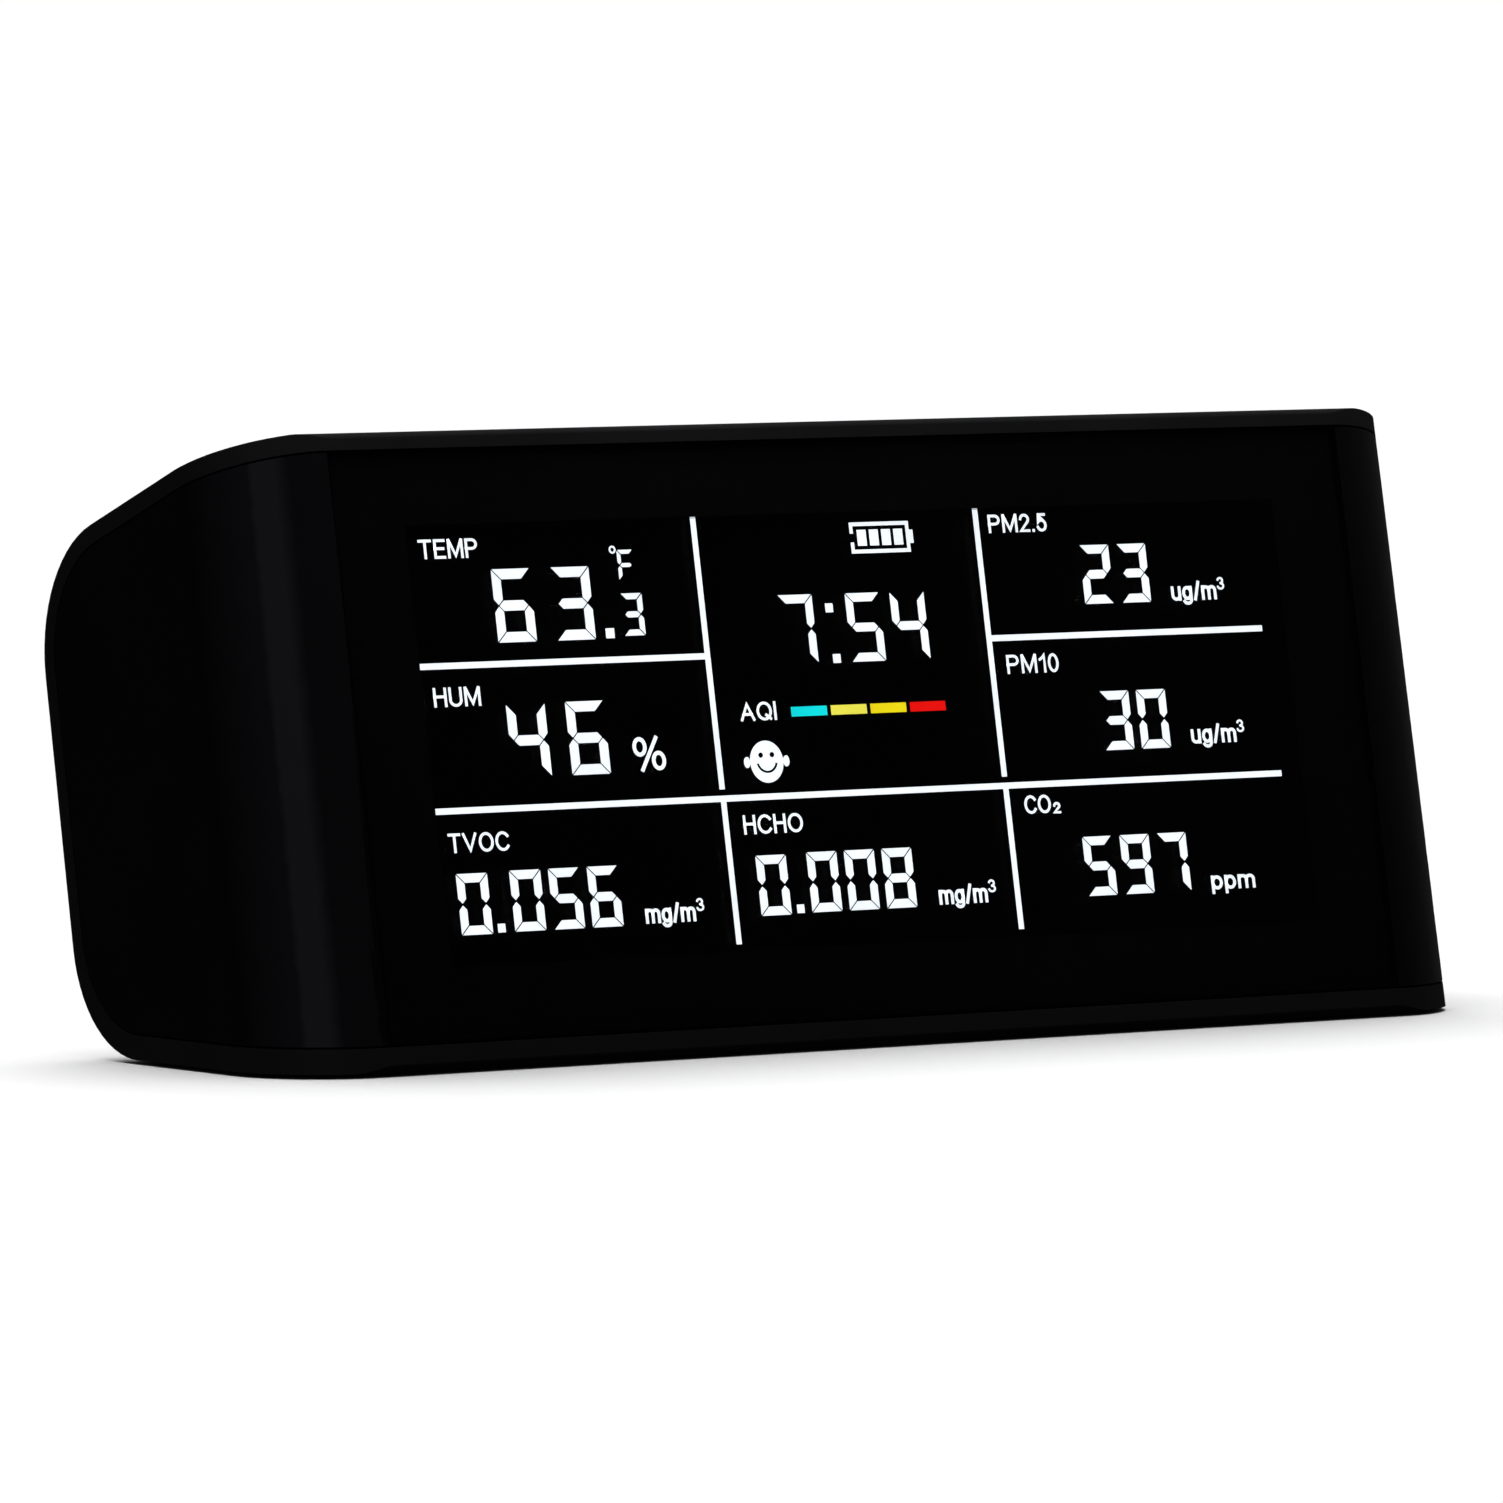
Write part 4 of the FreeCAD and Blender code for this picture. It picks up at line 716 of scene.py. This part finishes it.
# Brightness of the backdrop, of the light that fills the room, of what the gloss reflects ahead
# and of what it reflects at the right
BACKDROP = 1.02
ROOM_FILL = 0.14
ROOM_GLOSS = 0.005
SIDE_GLOSS = 0.024
# The reflector: brightness and colour, distance and height in metres, then its left edge, its
# step and its number of posts, in degrees round the object
PANEL_GLOW = 0.115
PANEL_COLOUR = (0.84, 0.82, 1.0, 1.0)
PANEL_RADIUS = 1.3
PANEL_LOW, PANEL_HIGH = 0.02, 0.75
PANEL_LEFT = -132.0
PANEL_STEP = 4.0
PANEL_POSTS = 39
# The sun overhead, and a narrow strip of light over the front edge
SUN_POWER = 3.6
SUN_SPREAD = math.radians(64.0)
SUN_TILT = (math.radians(-24.0), math.radians(4.0), 0.0)
WASH_POWER = 0.055
WASH_PLACE, WASH_TARGET, WASH_SIZE = (0, -0.055, 0.132), (0, -0.018, 0.05), (0.22, 0.012)


def world():
    """A pale backdrop, a dimmer room to light the object and a dark one for its gloss to reflect."""
    surroundings = bpy.data.worlds.new("studio")
    surroundings.use_nodes = True
    nodes, links = surroundings.node_tree.nodes, surroundings.node_tree.links
    nodes.clear()
    rays = nodes.new("ShaderNodeLightPath")
    split = nodes.new("ShaderNodeSeparateXYZ")
    links.new(nodes.new("ShaderNodeTexCoord").outputs["Generated"], split.inputs[0])
    rise = remap(nodes, links, split.outputs["Z"], 0.0, ROOM_FILL, -0.05, 0.6)
    side = remap(nodes, links, split.outputs["X"], ROOM_GLOSS, SIDE_GLOSS, 0.55, 0.95)
    for strength, kind in ((rise, None), (side, "Is Glossy Ray"), (None, "Is Camera Ray")):
        plain = nodes.new("ShaderNodeBackground")
        plain.inputs["Color"].default_value = (1.0, 1.0, 1.0, 1.0)
        if strength is None:
            plain.inputs["Strength"].default_value = BACKDROP
        else:
            links.new(strength, plain.inputs["Strength"])
        if kind is None:
            last = plain.outputs[0]
            continue
        mix = nodes.new("ShaderNodeMixShader")
        links.new(rays.outputs[kind], mix.inputs[0])
        links.new(last, mix.inputs[1])
        links.new(plain.outputs[0], mix.inputs[2])
        last = mix.outputs[0]
    output = nodes.new("ShaderNodeOutputWorld")
    links.new(last, output.inputs["Surface"])
    bpy.context.scene.world = surroundings


def reflector():
    """A curved panel in front, seen only in the gloss.

    From left to right it brightens slowly, steps up to a bright band and fades again.
    """
    turns = [math.radians(PANEL_LEFT + PANEL_STEP * i) for i in range(PANEL_POSTS)]
    round_it = [(PANEL_RADIUS * math.sin(t), -PANEL_RADIUS * math.cos(t)) for t in turns]
    shape = bmesh.new()
    lower = [shape.verts.new((x, y, PANEL_LOW)) for x, y in round_it]
    upper = [shape.verts.new((x, y, PANEL_HIGH)) for x, y in round_it]
    for i in range(len(turns) - 1):
        shape.faces.new((lower[i], lower[i + 1], upper[i + 1], upper[i]))
    layer = shape.loops.layers.uv.new("across")
    for face in shape.faces:
        for loop in face.loops:
            point = loop.vert.co
            angle = math.degrees(math.atan2(point.x, -point.y))
            loop[layer].uv = (angle - PANEL_LEFT, (point.z - PANEL_LOW) / (PANEL_HIGH - PANEL_LOW))
    mesh = bpy.data.meshes.new("reflector")
    shape.to_mesh(mesh)
    shape.free()
    material = bpy.data.materials.new("reflector")
    material.use_nodes = True
    nodes, links = material.node_tree.nodes, material.node_tree.links
    nodes.clear()
    split = nodes.new("ShaderNodeSeparateXYZ")
    links.new(nodes.new("ShaderNodeTexCoord").outputs["UV"], split.inputs[0])
    halo = remap(nodes, links, split.outputs["X"], 0.04, 0.46, 0.0, 66.0)
    step = remap(nodes, links, split.outputs["X"], 0.0, 0.54, 72.0, 78.0)
    fade = remap(nodes, links, split.outputs["X"], PANEL_GLOW, 0.3 * PANEL_GLOW, 99.0, 114.0)
    total = nodes.new("ShaderNodeMath")
    total.operation = "ADD"
    links.new(halo, total.inputs[0])
    links.new(step, total.inputs[1])
    strength = nodes.new("ShaderNodeMath")
    strength.operation = "MULTIPLY"
    links.new(total.outputs[0], strength.inputs[0])
    links.new(fade, strength.inputs[1])
    emit = nodes.new("ShaderNodeEmission")
    emit.inputs["Color"].default_value = PANEL_COLOUR
    links.new(strength.outputs[0], emit.inputs["Strength"])
    output = nodes.new("ShaderNodeOutputMaterial")
    links.new(emit.outputs[0], output.inputs["Surface"])
    mesh.materials.append(material)
    panel = bpy.data.objects.new("reflector", mesh)
    bpy.context.scene.collection.objects.link(panel)
    panel.visible_camera = False
    panel.visible_diffuse = False
    panel.visible_transmission = False
    panel.visible_shadow = False


def lights():
    """The sun, the strip over the front edge and the reflector."""
    sun = bpy.data.lights.new("overhead", "SUN")
    sun.energy = SUN_POWER
    sun.angle = SUN_SPREAD
    overhead = bpy.data.objects.new("overhead", sun)
    overhead.rotation_euler = SUN_TILT
    overhead.visible_glossy = False
    bpy.context.scene.collection.objects.link(overhead)
    wash = soft_light("wash", WASH_PLACE, WASH_TARGET, WASH_SIZE, WASH_POWER)
    wash.visible_glossy = False
    wash.visible_camera = False
    reflector()


# Angles, then distance and shifts in metres, then focal length as a multiple of the frame's width
CAMERA_YAW = math.radians(33.71)
CAMERA_RISE = math.radians(3.03)
CAMERA_ROLL = math.radians(-0.46)
CAMERA_DISTANCE = 1.322
CAMERA_RIGHT = -5.49 * MM
CAMERA_UP = 31.14 * MM
FOCAL_PER_WIDTH = 7.866
SENSOR = 36.0


def camera():
    """A long lens at the left of the front, a little above, aimed near the middle of the body."""
    ahead = Vector((
        math.sin(CAMERA_YAW) * math.cos(CAMERA_RISE),
        math.cos(CAMERA_YAW) * math.cos(CAMERA_RISE),
        -math.sin(CAMERA_RISE),
    ))
    right = Vector((math.cos(CAMERA_YAW), -math.sin(CAMERA_YAW), 0.0))
    up = right.cross(ahead)
    turn = Matrix.Rotation(-CAMERA_ROLL, 3, ahead)
    right, up = turn @ right, turn @ up
    centre = Vector((0.0, FOOT.y + BODY_DEPTH / 2, FOOT.z))
    place = centre + right * CAMERA_RIGHT + up * CAMERA_UP - ahead * CAMERA_DISTANCE
    data = bpy.data.cameras.new("camera")
    data.sensor_width = SENSOR
    data.lens = SENSOR * FOCAL_PER_WIDTH
    data.clip_start = 0.01
    data.clip_end = 60.0
    eye = bpy.data.objects.new("camera", data)
    turned = Matrix((right, up, -ahead)).transposed().to_4x4()
    eye.matrix_world = Matrix.Translation(place) @ turned
    bpy.context.scene.collection.objects.link(eye)
    bpy.context.scene.camera = eye


bpy.context.scene.view_settings.view_transform = "Standard"
camera()
world()
lights()
floor()
dress_frame()
for part in ("housing", "front_bezel", "lens"):
    soften_edges(part)
display_graphics()
lens_mask()
button_icons()
